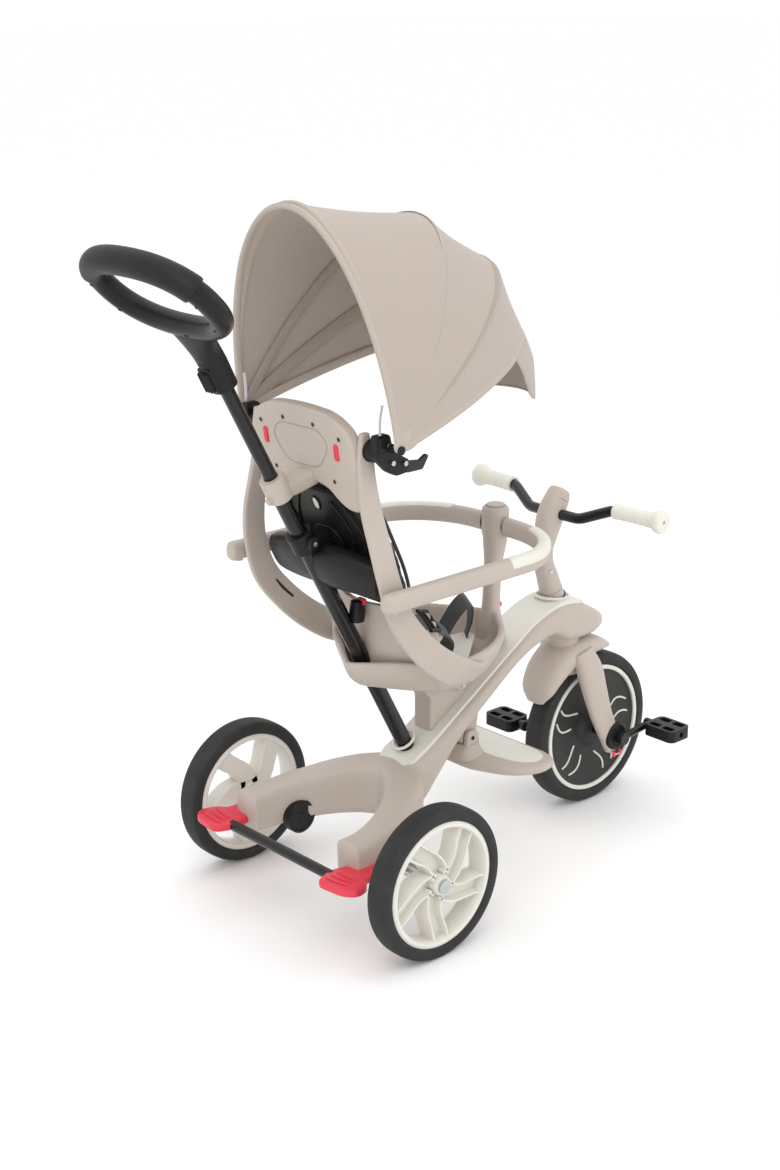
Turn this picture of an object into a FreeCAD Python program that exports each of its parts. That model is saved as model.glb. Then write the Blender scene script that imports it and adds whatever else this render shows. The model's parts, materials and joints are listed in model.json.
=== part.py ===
import FreeCAD, Part
import math
import os

# Children's tricycle with a push handle, a guard ring and a folding canopy.
# +X forward, +Y the rider's left, +Z up. Outlines are drawn with x = 0 over the rear axle,
# and every sub-part is placed forward by rear_axle_x, so the origin is under the middle.

doc = FreeCAD.newDocument("tricycle")
Vec = FreeCAD.Vector
UP = Vec(0, 0, 1)
LEFT = Vec(0, 1, 0)
SIDES = {"left": 1, "right": -1}

DIMENSIONS = [
    ("rear_axle_x", -152.5), ("wheel_base", 486.5),
    ("rear_wheel_radius", 100), ("rear_rim_radius", 81), ("rear_tyre_width", 34), ("half_track", 189),
    ("rear_rim_width", 30), ("rear_hub_radius", 15), ("rear_axle_radius", 5), ("rear_axle_bore", 5.06),
    ("front_wheel_radius", 113.4), ("front_rim_radius", 94), ("front_tyre_width", 36),
    ("front_disc_width", 26), ("trim_height", 3), ("crank_length", 55), ("crank_angle", 9),
    ("crank_axle_radius", 7), ("pedal_pin_radius", 4), ("pedal_pin_bore", 4.06), ("pedal_y", 108),
    ("pedal_length", 54), ("pedal_width", 42), ("pedal_height", 17),
    ("steering_rake", 19.5), ("head_bottom", 134), ("head_top", 237), ("head_radius", 21.5),
    ("steerer_radius", 12), ("steerer_bore", 12.06), ("bearing_radius", 16), ("bearing_length", 14),
    ("spine_width", 72), ("cover_width", 58), ("cover_thickness", 4), ("rear_frame_width", 244),
    ("push_tube_radius", 11), ("upper_tube_radius", 8.8), ("upper_tube_bore", 8.88), ("push_tube_lean", 27.85),
    ("push_tube_foot_x", 142.6), ("push_tube_foot_z", 158.7), ("lower_tube_length", 480),
    ("collar_radius", 15.5), ("collar_length", 31), ("clamp_radius", 17), ("clamp_length", 26),
    ("handle_travel", 60), ("handle_half_width", 98.7), ("handle_half_height", 56.6), ("handle_tilt", 45),
    ("handle_bar_radius", 13.4), ("handle_centre_x", -241.6), ("handle_centre_z", 833.4),
    ("seat_floor", 288), ("seat_floor_thickness", 8), ("seat_rim", 336), ("seat_wall", 6),
    ("back_width", 190), ("back_thickness", 16), ("back_lean", 8.6), ("panel_lean", 22),
    ("panel_thickness", 6), ("cushion_thickness", 22), ("button_travel", 2.5),
    ("guard_height", 459), ("guard_radius", 11), ("guard_half_width", 148), ("guard_hub_radius", 18.4),
    ("guard_hub_x", 294), ("guard_pivot_x", -28), ("guard_post_radius", 12),
    ("grip_radius", 10.5), ("grip_flange_radius", 16), ("bar_radius", 7.5), ("bar_bore", 7.5),
    ("brake_bar_radius", 7), ("brake_bar_x", -90), ("brake_bar_z", 106), ("brake_pivot_bore", 5.3),
    ("footrest_top", 145), ("footrest_thickness", 14), ("footrest_pin_x", 235), ("footrest_pin_z", 171),
    ("footrest_pin_radius", 3), ("canopy_pivot_x", -13.5), ("canopy_pivot_z", 643.4),
    ("canopy_half_width", 147), ("canopy_cloth", 1.6), ("hoop_radius", 2.5), ("hoop_step", 5.6),
    ("hoop_hub_radius", 7), ("hoop_pin_radius", 3), ("hoop_pin_bore", 3.06),
]

# Each canopy hoop: its name, its lean forward from upright in degrees, and its height from the pivot.
HOOPS = [("canopy_hoop_rear", -8, 275), ("canopy_hoop_second", 33.7, 291), ("canopy_hoop_third", 57.4, 326),
         ("canopy_hoop_front", 75, 335)]


def fill_sheet():
    sheet = doc.addObject("Spreadsheet::Sheet", "Dimensions")
    for row, (alias, value) in enumerate(DIMENSIONS, start=1):
        sheet.set(f"A{row}", alias)
        sheet.set(f"B{row}", str(value))
        sheet.setAlias(f"B{row}", alias)
    doc.recompute()
    return sheet


sheet = fill_sheet()


def dim(alias):
    return float(sheet.get(alias))


def turn(axis, degrees):
    return FreeCAD.Rotation(axis, degrees)


# Places that many pieces share.
RAKE = math.radians(dim("steering_rake"))
STEER_AXIS = Vec(-math.sin(RAKE), 0, math.cos(RAKE))
FRONT_AXLE = Vec(dim("wheel_base"), 0, dim("front_wheel_radius"))
LEAN = math.radians(dim("push_tube_lean"))
TUBE_AXIS = Vec(-math.sin(LEAN), 0, math.cos(LEAN))
TUBE_FOOT = Vec(dim("push_tube_foot_x"), 0, dim("push_tube_foot_z"))
PIVOT = Vec(dim("canopy_pivot_x"), 0, dim("canopy_pivot_z"))
parts = []


def on_steering(distance):
    return FRONT_AXLE + STEER_AXIS * distance


def on_tube(distance):
    return TUBE_FOOT + TUBE_AXIS * distance


def place(item, x="0", y="0", z="0", rotation=None):
    """Put a sub-part at x forward of the rear axle, y and z; each is text of an expression."""
    item.Placement = FreeCAD.Placement(Vec(), rotation or FreeCAD.Rotation())
    item.setExpression("Placement.Base.x", f"Dimensions.rear_axle_x + ({x})")
    item.setExpression("Placement.Base.y", y)
    item.setExpression("Placement.Base.z", z)


def new_body(name, **where):
    body = doc.addObject("PartDesign::Body", name)
    body.Label = name
    place(body, **where)
    parts.append(body)
    return body


def feature(name, *shapes):
    """A sub-part made with Part's own functions; several shapes become one group of separate solids."""
    item = doc.addObject("Part::Feature", name)
    item.Label = name
    alone = len(shapes) == 1 and shapes[0].Placement.isIdentity()
    item.Shape = shapes[0] if alone else Part.makeCompound(list(shapes))
    place(item)
    parts.append(item)
    return item


def rounded(points, radius):
    """Edges of a closed outline through (u, v) points, with each corner rounded by an arc."""
    count = len(points)
    radii = radius if isinstance(radius, list) else [radius] * count
    corners = []
    for i, point in enumerate(points):
        here = Vec(*point, 0)
        before = Vec(*points[i - 1], 0) - here
        after = Vec(*points[(i + 1) % count], 0) - here
        half = before.getAngle(after) / 2
        reach = min(radii[i] / math.tan(half), 0.48 * before.Length, 0.48 * after.Length)
        bisector = (before.normalize() + after.normalize()).normalize()
        middle = here + bisector * (reach / math.cos(half) - reach * math.tan(half))
        corners.append((here + before * reach, middle, here + after * reach, radii[i] > 0))
    edges = []
    for i, (start, middle, end, is_round) in enumerate(corners):
        if is_round:
            edges.append(Part.Arc(start, middle, end))
        edges.append(Part.LineSegment(end, corners[(i + 1) % count][0]))
    return edges


def sketch(body, role, edges):
    plane = [item for item in body.Origin.OriginFeatures if item.Role == role][0]
    drawing = body.newObject("Sketcher::SketchObject", body.Name + "_outline")
    drawing.AttachmentSupport = [(plane, "")]
    drawing.MapMode = "FlatFace"
    for edge in edges:
        drawing.addGeometry(edge, False)
    return drawing


def pad(body, drawing, length, middle=True, back=False):
    item = body.newObject("PartDesign::Pad", body.Name + "_pad")
    item.Profile = drawing
    item.setExpression("Length", length)
    item.Midplane = middle
    item.Reversed = back
    return item


def pocket(body, drawing, length, middle=True, back=False):
    item = body.newObject("PartDesign::Pocket", body.Name + "_pocket")
    item.Profile = drawing
    item.setExpression("Length", length)
    item.Midplane = middle
    item.Reversed = back
    return item


def revolve(body, edges):
    """Turn an outline drawn in the body's XZ plane, as (radius, height), round the body's Z axis."""
    drawing = sketch(body, "XZ_Plane", edges)
    item = body.newObject("PartDesign::Revolution", body.Name + "_turning")
    item.Profile = drawing
    item.ReferenceAxis = (drawing, ["V_Axis"])
    item.Angle = 360
    return item


def rod(body, kind, radius, start, end):
    """An added or cut round rod between two points of the body's own frame."""
    item = body.newObject(f"PartDesign::{kind}Cylinder", body.Name + "_rod")
    item.setExpression("Radius", radius)
    item.Height = (end - start).Length
    item.Placement = FreeCAD.Placement(start, FreeCAD.Rotation(UP, end - start))
    return item


def cylinder(radius, start, end):
    return Part.makeCylinder(radius, (end - start).Length, start, end - start)


def disc_wire(centre, normal, radius, ratio=1.0):
    """A round wire, or an oval one whose short half is ratio times radius."""
    if ratio == 1.0:
        return Part.Wire(Part.Circle(centre, normal, radius).toShape())
    return Part.Wire(Part.Ellipse(centre, radius, radius * ratio).toShape())


def bend(points, radius):
    """A path of straight runs joined by tangent arcs of the given radius."""
    edges = []
    last = points[0]
    for before, here, after in zip(points, points[1:], points[2:]):
        back = (before - here)
        on = (after - here)
        half = back.getAngle(on) / 2
        reach = min(radius / math.tan(half), 0.45 * back.Length, 0.45 * on.Length)
        back.normalize()
        on.normalize()
        middle = here + (back + on).normalize() * (reach / math.cos(half) - reach * math.tan(half))
        edges.append(Part.LineSegment(last, here + back * reach).toShape())
        edges.append(Part.Arc(here + back * reach, middle, here + on * reach).toShape())
        last = here + on * reach
    edges.append(Part.LineSegment(last, points[-1]).toShape())
    return Part.Wire(edges)


def tube(path, radius):
    """A round bar along a path."""
    first = path.OrderedEdges[0]
    normal = first.tangentAt(first.FirstParameter)
    profile = disc_wire(path.OrderedVertexes[0].Point, normal, radius)
    return path.makePipeShell([profile], True, False)


def loft(wires):
    return Part.makeLoft(wires, True, False)


def mirrored(shape):
    return shape.mirror(Vec(), LEFT)


# ---- frame ----

# The spine's top edge and its underside, from the tail to the nose.
SPINE_TOP = [(96, 165), (146, 189), (209, 227), (313, 291), (345, 311), (375, 322.5), (404, 327), (438, 321)]
SPINE_NOSE = [(466, 305), (498, 281), (494, 266), (450, 268)]
SPINE_UNDER = [(400, 262), (346, 279), (250, 224), (190, 176), (150, 132), (128, 104), (96, 104)]


def spine_shell():
    body = new_body("spine_shell")
    outline = SPINE_TOP + SPINE_NOSE + SPINE_UNDER
    radii = [2] * len(SPINE_TOP) + [12, 9, 9, 6] + [8] * len(SPINE_UNDER)
    pad(body, sketch(body, "XZ_Plane", rounded(outline, radii)), "Dimensions.spine_width")
    rod(body, "Additive", "Dimensions.head_radius", on_steering(dim("head_bottom")), on_steering(200))
    rod(body, "Subtractive", "Dimensions.bearing_radius", on_steering(120), on_steering(260))
    rod(body, "Subtractive", "Dimensions.push_tube_radius + 0.1", on_tube(-2), on_tube(80))
    return body


def top_cover():
    body = new_body("top_cover")
    thickness = dim("cover_thickness")
    above = [(x - 0.5 * thickness, z + 0.9 * thickness) for x, z in SPINE_TOP]
    above[-1] = (SPINE_TOP[-1][0] + 1.0, SPINE_TOP[-1][1] + thickness)
    outline = [(x, z + 0.05) for x, z in SPINE_TOP] + above[::-1]
    pad(body, sketch(body, "XZ_Plane", rounded(outline, 0)), "Dimensions.cover_width")
    rod(body, "Subtractive", "Dimensions.head_radius", on_steering(200), on_steering(270))
    rod(body, "Subtractive", "Dimensions.push_tube_radius + 0.1", on_tube(-2), on_tube(80))
    return body


def rear_frame():
    """A fork in plan: two deep box legs that leave a round gap between them."""
    half = dim("rear_frame_width") / 2
    right = [(-46, -82), (-66, -half), (-20, -half), (70, -74), (96, -56)]
    left = [(x, -y) for x, y in reversed(right)]
    body = new_body("rear_frame")
    gap = [(20, 66), (66, 42), (88, 16), (88, -16), (66, -42), (20, -66)]
    outline = right + left + gap
    radii = [6, 12, 30, 40, 2, 2, 40, 30, 12, 6, 60, 30, 20, 20, 30, 60]
    pad(body, sketch(body, "XY_Plane", rounded(outline, radii)), "200", middle=False)
    over = [(-90, 142), (-30, 146), (40, 157), (97, 164.5), (97, 230), (-90, 230)]
    under = [(-90, -20), (-90, 90), (-20, 88), (60, 96), (97, 104), (97, -20)]
    for profile in (over, under):
        pocket(body, sketch(body, "XZ_Plane", rounded(profile, 0)), "300")
    axle = Vec(0, 0, dim("rear_wheel_radius"))
    rod(body, "Subtractive", "Dimensions.rear_axle_radius", axle - LEFT * 140, axle + LEFT * 140)
    return body


def rear_axles():
    """A steel bolt through each leg, with a round head outside the wheel."""
    bolts = []
    axle = Vec(0, 0, dim("rear_wheel_radius"))
    for side in SIDES.values():
        shank = cylinder(dim("rear_axle_radius"), axle + LEFT * side * 82, axle + LEFT * side * 206.6)
        head = cylinder(9, axle + LEFT * side * 206.6, axle + LEFT * side * 209.6)
        spacer = cylinder(9, axle + LEFT * side * 136.6, axle + LEFT * side * 171.4)
        bolts.append(shank.fuse(head).fuse(spacer).removeSplitter())
    feature("rear_axle_bolts", *bolts)
    caps = [cylinder(22, axle + LEFT * side * 80, axle + LEFT * side * 62) for side in SIDES.values()]
    feature("axle_caps", *caps)


def footrest_lug():
    body = new_body("footrest_lug")
    x = dim("footrest_pin_x")
    z = dim("footrest_pin_z")
    outline = [(x - 14, z - 9), (x + 13, z - 9), (x + 16, z + 56), (x - 12, z + 36)]
    pad(body, sketch(body, "XZ_Plane", rounded(outline, [8, 8, 0, 0])), "20")
    rod(body, "Additive", "Dimensions.footrest_pin_radius", Vec(x, -19, z), Vec(x, 19, z))
    return body


def head_bearings():
    rings = []
    for low, high in ((dim("head_bottom"), dim("head_bottom") + 14), (214, 228)):
        ring = cylinder(dim("bearing_radius"), on_steering(low), on_steering(high))
        rings.append(ring.cut(cylinder(dim("steerer_bore"), on_steering(low - 1), on_steering(high + 1))))
    feature("head_bearings", *rings)


# ---- push tube ----

def push_tubes():
    outer = cylinder(dim("push_tube_radius"), on_tube(0), on_tube(dim("lower_tube_length")))
    bore = cylinder(dim("upper_tube_bore"), on_tube(-1), on_tube(dim("lower_tube_length") + 1))
    feature("lower_push_tube", outer.cut(bore))
    inner = cylinder(dim("upper_tube_radius"), on_tube(380), on_tube(630))
    feature("upper_push_tube", inner.cut(cylinder(dim("upper_tube_radius") - 1.6, on_tube(379), on_tube(631))))


def tube_collar():
    """The beige ring that holds the tube to the backrest."""
    low = on_tube(463)
    ring = cylinder(dim("collar_radius"), low, on_tube(463 + dim("collar_length")))
    arm = Part.makeBox(52, 22, 20, on_tube(478) + Vec(0, -11, -9))
    bore = cylinder(dim("push_tube_radius") + 0.05, on_tube(440), on_tube(480.05))
    throat = cylinder(dim("upper_tube_radius") + 0.3, on_tube(480), on_tube(520))
    feature("tube_collar", ring.fuse(arm).cut(bore).cut(throat).removeSplitter())


def tube_clamp():
    low = 382
    ring = cylinder(dim("clamp_radius"), on_tube(low), on_tube(low + dim("clamp_length")))
    arm = Part.makeBox(44, 26, 18, on_tube(low + 13) + Vec(2, -13, -9))
    bore = cylinder(dim("push_tube_radius") + 0.05, on_tube(low - 40), on_tube(low + 60))
    feature("tube_clamp", ring.fuse(arm).cut(bore).removeSplitter())


def handle():
    centre = Vec(dim("handle_centre_x"), 0, dim("handle_centre_z"))
    tilt = math.radians(dim("handle_tilt"))
    normal = Vec(math.sin(tilt), 0, math.cos(tilt))
    along = Vec(-math.cos(tilt), 0, math.sin(tilt))
    oval = Part.Ellipse(centre + LEFT * dim("handle_half_width"), centre + along * dim("handle_half_height"), centre)
    start = oval.parameter(centre - along * dim("handle_half_height"))
    radius = dim("handle_bar_radius")

    def bar(low, high, size):
        path = Part.Wire(Part.ArcOfEllipse(oval, start + low, start + high).toShape())
        return tube(path, size)

    grip_start = 0.62 * math.pi
    ring = bar(-grip_start, grip_start, radius)
    sleeve = bar(grip_start, 2 * math.pi - grip_start, radius)
    bottom = centre - along * dim("handle_half_height")
    stem_top = bottom + (on_tube(655) - bottom).normalize() * 4
    stem = loft([disc_wire(on_tube(632), TUBE_AXIS, 15.5), disc_wire(on_tube(662), TUBE_AXIS, 15.5),
                 disc_wire(stem_top, (bottom - on_tube(662)), 15)])
    ring = ring.fuse(stem).removeSplitter()
    ring = ring.cut(cylinder(dim("upper_tube_radius"), on_tube(600), on_tube(630.05)))
    seat = FreeCAD.Placement(on_tube(634), turn(LEFT, -dim("push_tube_lean")))
    slot = Part.makeBox(15, 18, 28, Vec(-25, -9, 2))
    slot.Placement = seat
    ring = ring.cut(slot)
    feature("handle_ring", ring)
    feature("handle_sleeve", sleeve)
    button = Part.makeBox(7, 17, 27, Vec(-20, -8.5, 2.5))
    button.Placement = seat
    feature("handle_button", button)


# ---- steering ----

STEM = [(236.5, 18), (262, 16.5), (300, 15)]


def fork():
    """Crown, steerer tube and two legs that reach the front axle."""
    crown = cylinder(21, on_steering(119.5), on_steering(133.7))
    steerer = cylinder(dim("steerer_radius"), on_steering(120), on_steering(236.5))
    hub = dim("front_wheel_radius")
    shape = crown.fuse(steerer)
    for side in SIDES.values():
        stations = [(452, 33, 228, 21, 10), (452, 42, 180, 21, 8), (472, 47, 130, 17, 8), (486.5, 49, 92, 15, 7)]
        sections = []
        for x, y, z, long_half, short_half in stations:
            sections.append(disc_wire(Vec(x, side * y, z), UP, long_half, short_half / long_half))
        leg = loft(sections)
        shape = shape.fuse(leg)
        arch = Part.makeBox(30, 24, 9.5, Vec(428, side * 27 - 12, 224))
        shape = shape.fuse(arch)
    axle = Vec(dim("wheel_base"), 0, hub)
    shape = shape.cut(cylinder(dim("crank_axle_radius") + 0.06, axle - LEFT * 80, axle + LEFT * 80))
    shape = shape.cut(cylinder(117, axle - LEFT * 22, axle + LEFT * 22))
    feature("fork", shape.removeSplitter())
    covers = []
    for side in SIDES.values():
        cover = cylinder(19.5, axle + LEFT * side * 54, axle + LEFT * side * 62)
        covers.append(cover.cut(cylinder(dim("crank_axle_radius") + 0.3, axle - LEFT * 80, axle + LEFT * 80)))
    feature("hub_covers", *covers)


def fender():
    """A hood over the tyre, longer behind the crown than before it."""
    body = new_body("front_fender")
    outline = [(350, 203), (356, 234), (378, 246), (408, 241), (505, 238), (515, 226), (496, 217), (388, 187), (366, 189)]
    radii = [10, 12, 12, 6, 6, 8, 4, 4, 8]
    pad(body, sketch(body, "XZ_Plane", rounded(outline, radii)), "56")
    axle = FRONT_AXLE
    rod(body, "Subtractive", "117", axle - LEFT * 24, axle + LEFT * 24)
    rod(body, "Subtractive", "Dimensions.head_radius - 0.5", on_steering(100), on_steering(200))
    rod(body, "Subtractive", "Dimensions.head_radius + 0.6", on_steering(133.7), on_steering(200))
    return body


def stem():
    wires = [disc_wire(on_steering(s), STEER_AXIS, radius) for s, radius in STEM]
    wires.append(disc_wire(Vec(393, 0, 425), Vec(0.1, 0, 1), 15.5))
    wires.append(disc_wire(Vec(404, 0, 450), Vec(0.45, 0, 1), 19.5))
    wires.append(disc_wire(Vec(419, 0, 472), Vec(0.5, 0, 1), 16))
    shape = loft(wires)
    shape = shape.cut(tube(handlebar_path(), dim("bar_radius") + 0.05))
    feature("stem", shape)
    feature("stem_cap", loft([disc_wire(Vec(419, 0, 472), Vec(0.5, 0, 1), 14),
                              disc_wire(Vec(422.5, 0, 479), Vec(0.5, 0, 1), 14),
                              disc_wire(Vec(425, 0, 484), Vec(0.5, 0, 1), 11)]))


def handlebar_path():
    right = [Vec(435, -160, 469), Vec(428, -92, 470.5), Vec(410, -46, 452), Vec(407, -20, 453)]
    left = [Vec(p.x, -p.y, p.z) for p in reversed(right)]
    return bend(right + left, 34)


def handlebar():
    feature("handlebar", tube(handlebar_path(), dim("bar_radius")))
    grips = []
    for side in SIDES.values():
        inner = Vec(428.3, side * 95, 470.4)
        outer = Vec(436, side * 170, 468.8)
        along = (outer - inner).normalize()
        grip = cylinder(dim("grip_radius"), inner, outer)
        grip = grip.fuse(cylinder(dim("grip_flange_radius"), outer - along * 9, outer + along * 2))
        grip = grip.fuse(cylinder(dim("grip_radius") + 2, inner, inner + along * 4))
        grip = grip.cut(cylinder(dim("bar_bore"), inner - along * 5, Vec(435, side * 160, 469)))
        grip = grip.cut(cylinder(2.5, outer - along * 12, outer + along * 4))
        grips.append(grip.removeSplitter())
    feature("grips", *grips)


# ---- front wheel, cranks and pedals ----

def tyre_outline(outer, inner, width):
    half = width / 2
    return rounded([(inner, -half * 0.8), (outer - 8, -half), (outer, -half * 0.45), (outer, half * 0.45),
                    (outer - 8, half), (inner, half * 0.8)], [1, 6, 8, 8, 6, 1])


ON_SIDE = turn(Vec(1, 0, 0), -90)


def front_wheel():
    where = {"x": "Dimensions.wheel_base", "z": "Dimensions.front_wheel_radius", "rotation": ON_SIDE}
    rim = dim("front_rim_radius")
    tyre = new_body("front_tyre", **where)
    revolve(tyre, tyre_outline(dim("front_wheel_radius"), rim, dim("front_tyre_width")))
    disc = new_body("front_disc", **where)
    half = dim("front_disc_width") / 2
    hub = dim("crank_axle_radius")
    revolve(disc, rounded([(hub, -20), (26, -20), (30, -half + 4), (rim - 10, -half + 2), (rim, -half), (rim, half),
                           (rim - 10, half - 2), (30, half - 4), (26, 20), (hub, 20)], 0))
    ring = []
    for side in SIDES.values():
        low = FRONT_AXLE + LEFT * side * half
        high = low + LEFT * side * dim("trim_height")
        ring.append(cylinder(rim - 0.3, low, high).cut(cylinder(rim - 7, low - LEFT * side, high + LEFT * side)))
    feature("front_trim", *ring)


def cranks():
    length = dim("crank_length")
    angle = math.radians(dim("crank_angle"))
    shape = cylinder(dim("crank_axle_radius"), FRONT_AXLE - LEFT * 70, FRONT_AXLE + LEFT * 70)
    for side in SIDES.values():
        end = FRONT_AXLE + Vec(math.cos(angle), 0, math.sin(angle)) * (-side * length)
        arm = cylinder(5.5, FRONT_AXLE + LEFT * side * 70, end + LEFT * side * 74)
        pin = cylinder(dim("pedal_pin_radius"), end + LEFT * side * 69, end + LEFT * side * 132)
        elbow = cylinder(7.5, end + LEFT * side * 69, end + LEFT * side * 79.5)
        boss = cylinder(9, FRONT_AXLE + LEFT * side * 64, FRONT_AXLE + LEFT * side * 77)
        shape = shape.fuse(arm).fuse(pin).fuse(elbow).fuse(boss)
    feature("crankset", shape.removeSplitter())


def pedal(name, side):
    """A rounded block with two through windows and a bore for its pin."""
    angle = math.radians(dim("crank_angle"))
    reach = -side * dim("crank_length")
    x = f"Dimensions.wheel_base + ({reach * math.cos(angle)})"
    z = f"Dimensions.front_wheel_radius + ({reach * math.sin(angle)})"
    body = new_body(name, x=x, y=f"{side} * Dimensions.pedal_y", z=z)
    u = dim("pedal_width") / 2
    v = dim("pedal_length") / 2
    outline = rounded([(-u, -v), (u, -v), (u, v), (-u, v)], 9)
    pad(body, sketch(body, "XY_Plane", outline), "Dimensions.pedal_height")
    for low in (-v + 6, 3):
        for left in (-u + 4, 6):
            wide = u - 10
            tall = v - 9
            window = [(left, low), (left + wide, low), (left + wide, low + tall), (left, low + tall)]
            pocket(body, sketch(body, "XY_Plane", rounded(window, 3)), "40")
    rod(body, "Subtractive", "Dimensions.pedal_pin_bore", Vec(0, -v - 2, 0), Vec(0, v + 2, 0))
    return body


# ---- rear wheels and brake ----

def rear_wheel(name, side):
    where = {"y": f"{side} * Dimensions.half_track", "z": "Dimensions.rear_wheel_radius", "rotation": ON_SIDE}
    rim = dim("rear_rim_radius")
    tyre = new_body(f"rear_tyre_{name}", **where)
    revolve(tyre, tyre_outline(dim("rear_wheel_radius"), rim, dim("rear_tyre_width")))
    body = new_body(f"rear_rim_{name}", **where)
    half = dim("rear_rim_width") / 2
    bore = dim("rear_axle_bore")
    hub = dim("rear_hub_radius")
    revolve(body, rounded([(rim - 6, -half), (rim, -half), (rim, half), (rim - 6, half), (rim - 9, 0)], 0))
    spoke = [(hub - 4, -7), (rim - 7, -20), (rim - 7, 4), (hub - 4, 7)]
    blade = pad(body, sketch(body, "XY_Plane", rounded(spoke, 0)), "14")
    wheel = body.newObject("PartDesign::PolarPattern", body.Name + "_spokes")
    wheel.Originals = [blade]
    axis = [item for item in body.Origin.OriginFeatures if item.Role == "Z_Axis"][0]
    wheel.Axis = (axis, [""])
    wheel.Angle = 360
    wheel.Occurrences = 5
    body.Tip = wheel
    rod(body, "Additive", "Dimensions.rear_hub_radius", Vec(0, 0, -17), Vec(0, 0, 17))
    rod(body, "Subtractive", "Dimensions.rear_axle_bore", Vec(0, 0, -30), Vec(0, 0, 30))
    return bore


def brake():
    x = dim("brake_bar_x")
    z = dim("brake_bar_z")
    feature("brake_bar", cylinder(dim("brake_bar_radius"), Vec(x, -100, z), Vec(x, 100, z)))
    pedals = []
    axle = Vec(0, 0, dim("rear_wheel_radius"))
    for side in SIDES.values():
        low = min(side * 100, side * 155)
        pad_plate = Part.makeBox(44, 55, 12, Vec(x - 24, low, z - 6))
        pad_plate = pad_plate.makeFillet(4, pad_plate.Edges)
        low = min(side * 126, side * 136)
        arm = Part.makeBox(100, 10, 14, Vec(-88, low, z - 13))
        eye = cylinder(14, axle + LEFT * side * 126, axle + LEFT * side * 136)
        pedal_shape = pad_plate.fuse(arm).fuse(eye)
        pedal_shape = pedal_shape.cut(cylinder(dim("brake_pivot_bore"), axle - LEFT * 160, axle + LEFT * 160))
        pedals.append(pedal_shape.removeSplitter())
    feature("brake_pedals", *pedals)


# ---- seat ----

# Half of the seat's plan outline, from the tail to the front tip.
SEAT_PLAN = [(62, 70), (90, 116), (150, 116), (225, 86), (268, 40)]


def seat_outline(inset):
    right = [(x + (inset if x < 100 else -inset), -(y - inset)) for x, y in SEAT_PLAN]
    left = [(x, -y) for x, y in reversed(right)]
    return rounded(right + left, [20, 40, 50, 50, 30, 30, 50, 50, 40, 20])


def seat_bucket():
    body = new_body("seat_bucket", z="Dimensions.seat_floor")
    rim = "Dimensions.seat_rim - Dimensions.seat_floor"
    pad(body, sketch(body, "XY_Plane", seat_outline(0)), rim, middle=False)
    inside = sketch(body, "XY_Plane", seat_outline(dim("seat_wall")))
    inside.AttachmentOffset = FreeCAD.Placement(Vec(0, 0, dim("seat_floor_thickness")), FreeCAD.Rotation())
    pocket(body, inside, "100", middle=False, back=True)
    wall = rounded([(52, -96), (58, -96), (66, 0), (58, 96), (52, 96), (60, 0)], 0)
    rise = sketch(body, "XY_Plane", wall)
    rise.AttachmentOffset = FreeCAD.Placement(Vec(0, 0, 20), FreeCAD.Rotation())
    pad(body, rise, "96", middle=False)
    shelf = sketch(body, "XY_Plane", rounded([(34, -60), (66, -112), (96, -112), (96, 112), (66, 112), (34, 60)], 12))
    shelf.AttachmentOffset = FreeCAD.Placement(Vec(0, 0, 18), FreeCAD.Rotation())
    pad(body, shelf, "7", middle=False)
    floor = Vec(0, 0, dim("seat_floor"))
    post = Vec(288, 0, 0)
    rod(body, "Additive", "Dimensions.guard_post_radius + 5", post + UP * 12, post + UP * 48)
    link = sketch(body, "XY_Plane", rounded([(264, -15), (286, -15), (286, 15), (264, 15)], 0))
    link.AttachmentOffset = FreeCAD.Placement(Vec(0, 0, 12), FreeCAD.Rotation())
    pad(body, link, "36", middle=False)
    foot = sketch(body, "XY_Plane", rounded([(46, -24), (64, -24), (64, 24), (46, 24)], 3))
    foot.AttachmentOffset = FreeCAD.Placement(Vec(0, 0, 106), FreeCAD.Rotation())
    pad(body, foot, "20", middle=False)
    rod(body, "Subtractive", "Dimensions.push_tube_radius + 0.5", on_tube(0) - floor, on_tube(400) - floor)
    return body


def seat_insert():
    body = new_body("seat_insert", z="Dimensions.seat_floor + Dimensions.seat_floor_thickness")
    outline = rounded([(110, -72), (190, -66), (232, -30), (232, 30), (190, 66), (110, 72)], 24)
    pad(body, sketch(body, "XY_Plane", outline), "4", middle=False)
    return body


def seat_bracket():
    body = new_body("seat_bracket")
    outline = rounded([(162, 201), (222, 238), (222, 288), (150, 288), (150, 262), (162, 250)], [3, 3, 0, 0, 3, 3])
    pad(body, sketch(body, "XZ_Plane", outline), "32")
    rod(body, "Subtractive", "4.06", Vec(178, -20, 268), Vec(178, 20, 268))
    return body


def seat_lever():
    body = new_body("seat_lever")
    outline = rounded([(170, 260), (186, 260), (214, 250), (218, 262), (186, 276), (170, 276)], 5)
    drawing = sketch(body, "XZ_Plane", outline)
    drawing.AttachmentOffset = FreeCAD.Placement(Vec(0, 0, 16.5), FreeCAD.Rotation())
    pad(body, drawing, "7", middle=False)
    rod(body, "Additive", "4", Vec(178, -18, 268), Vec(178, 16, 268))
    return body


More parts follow.
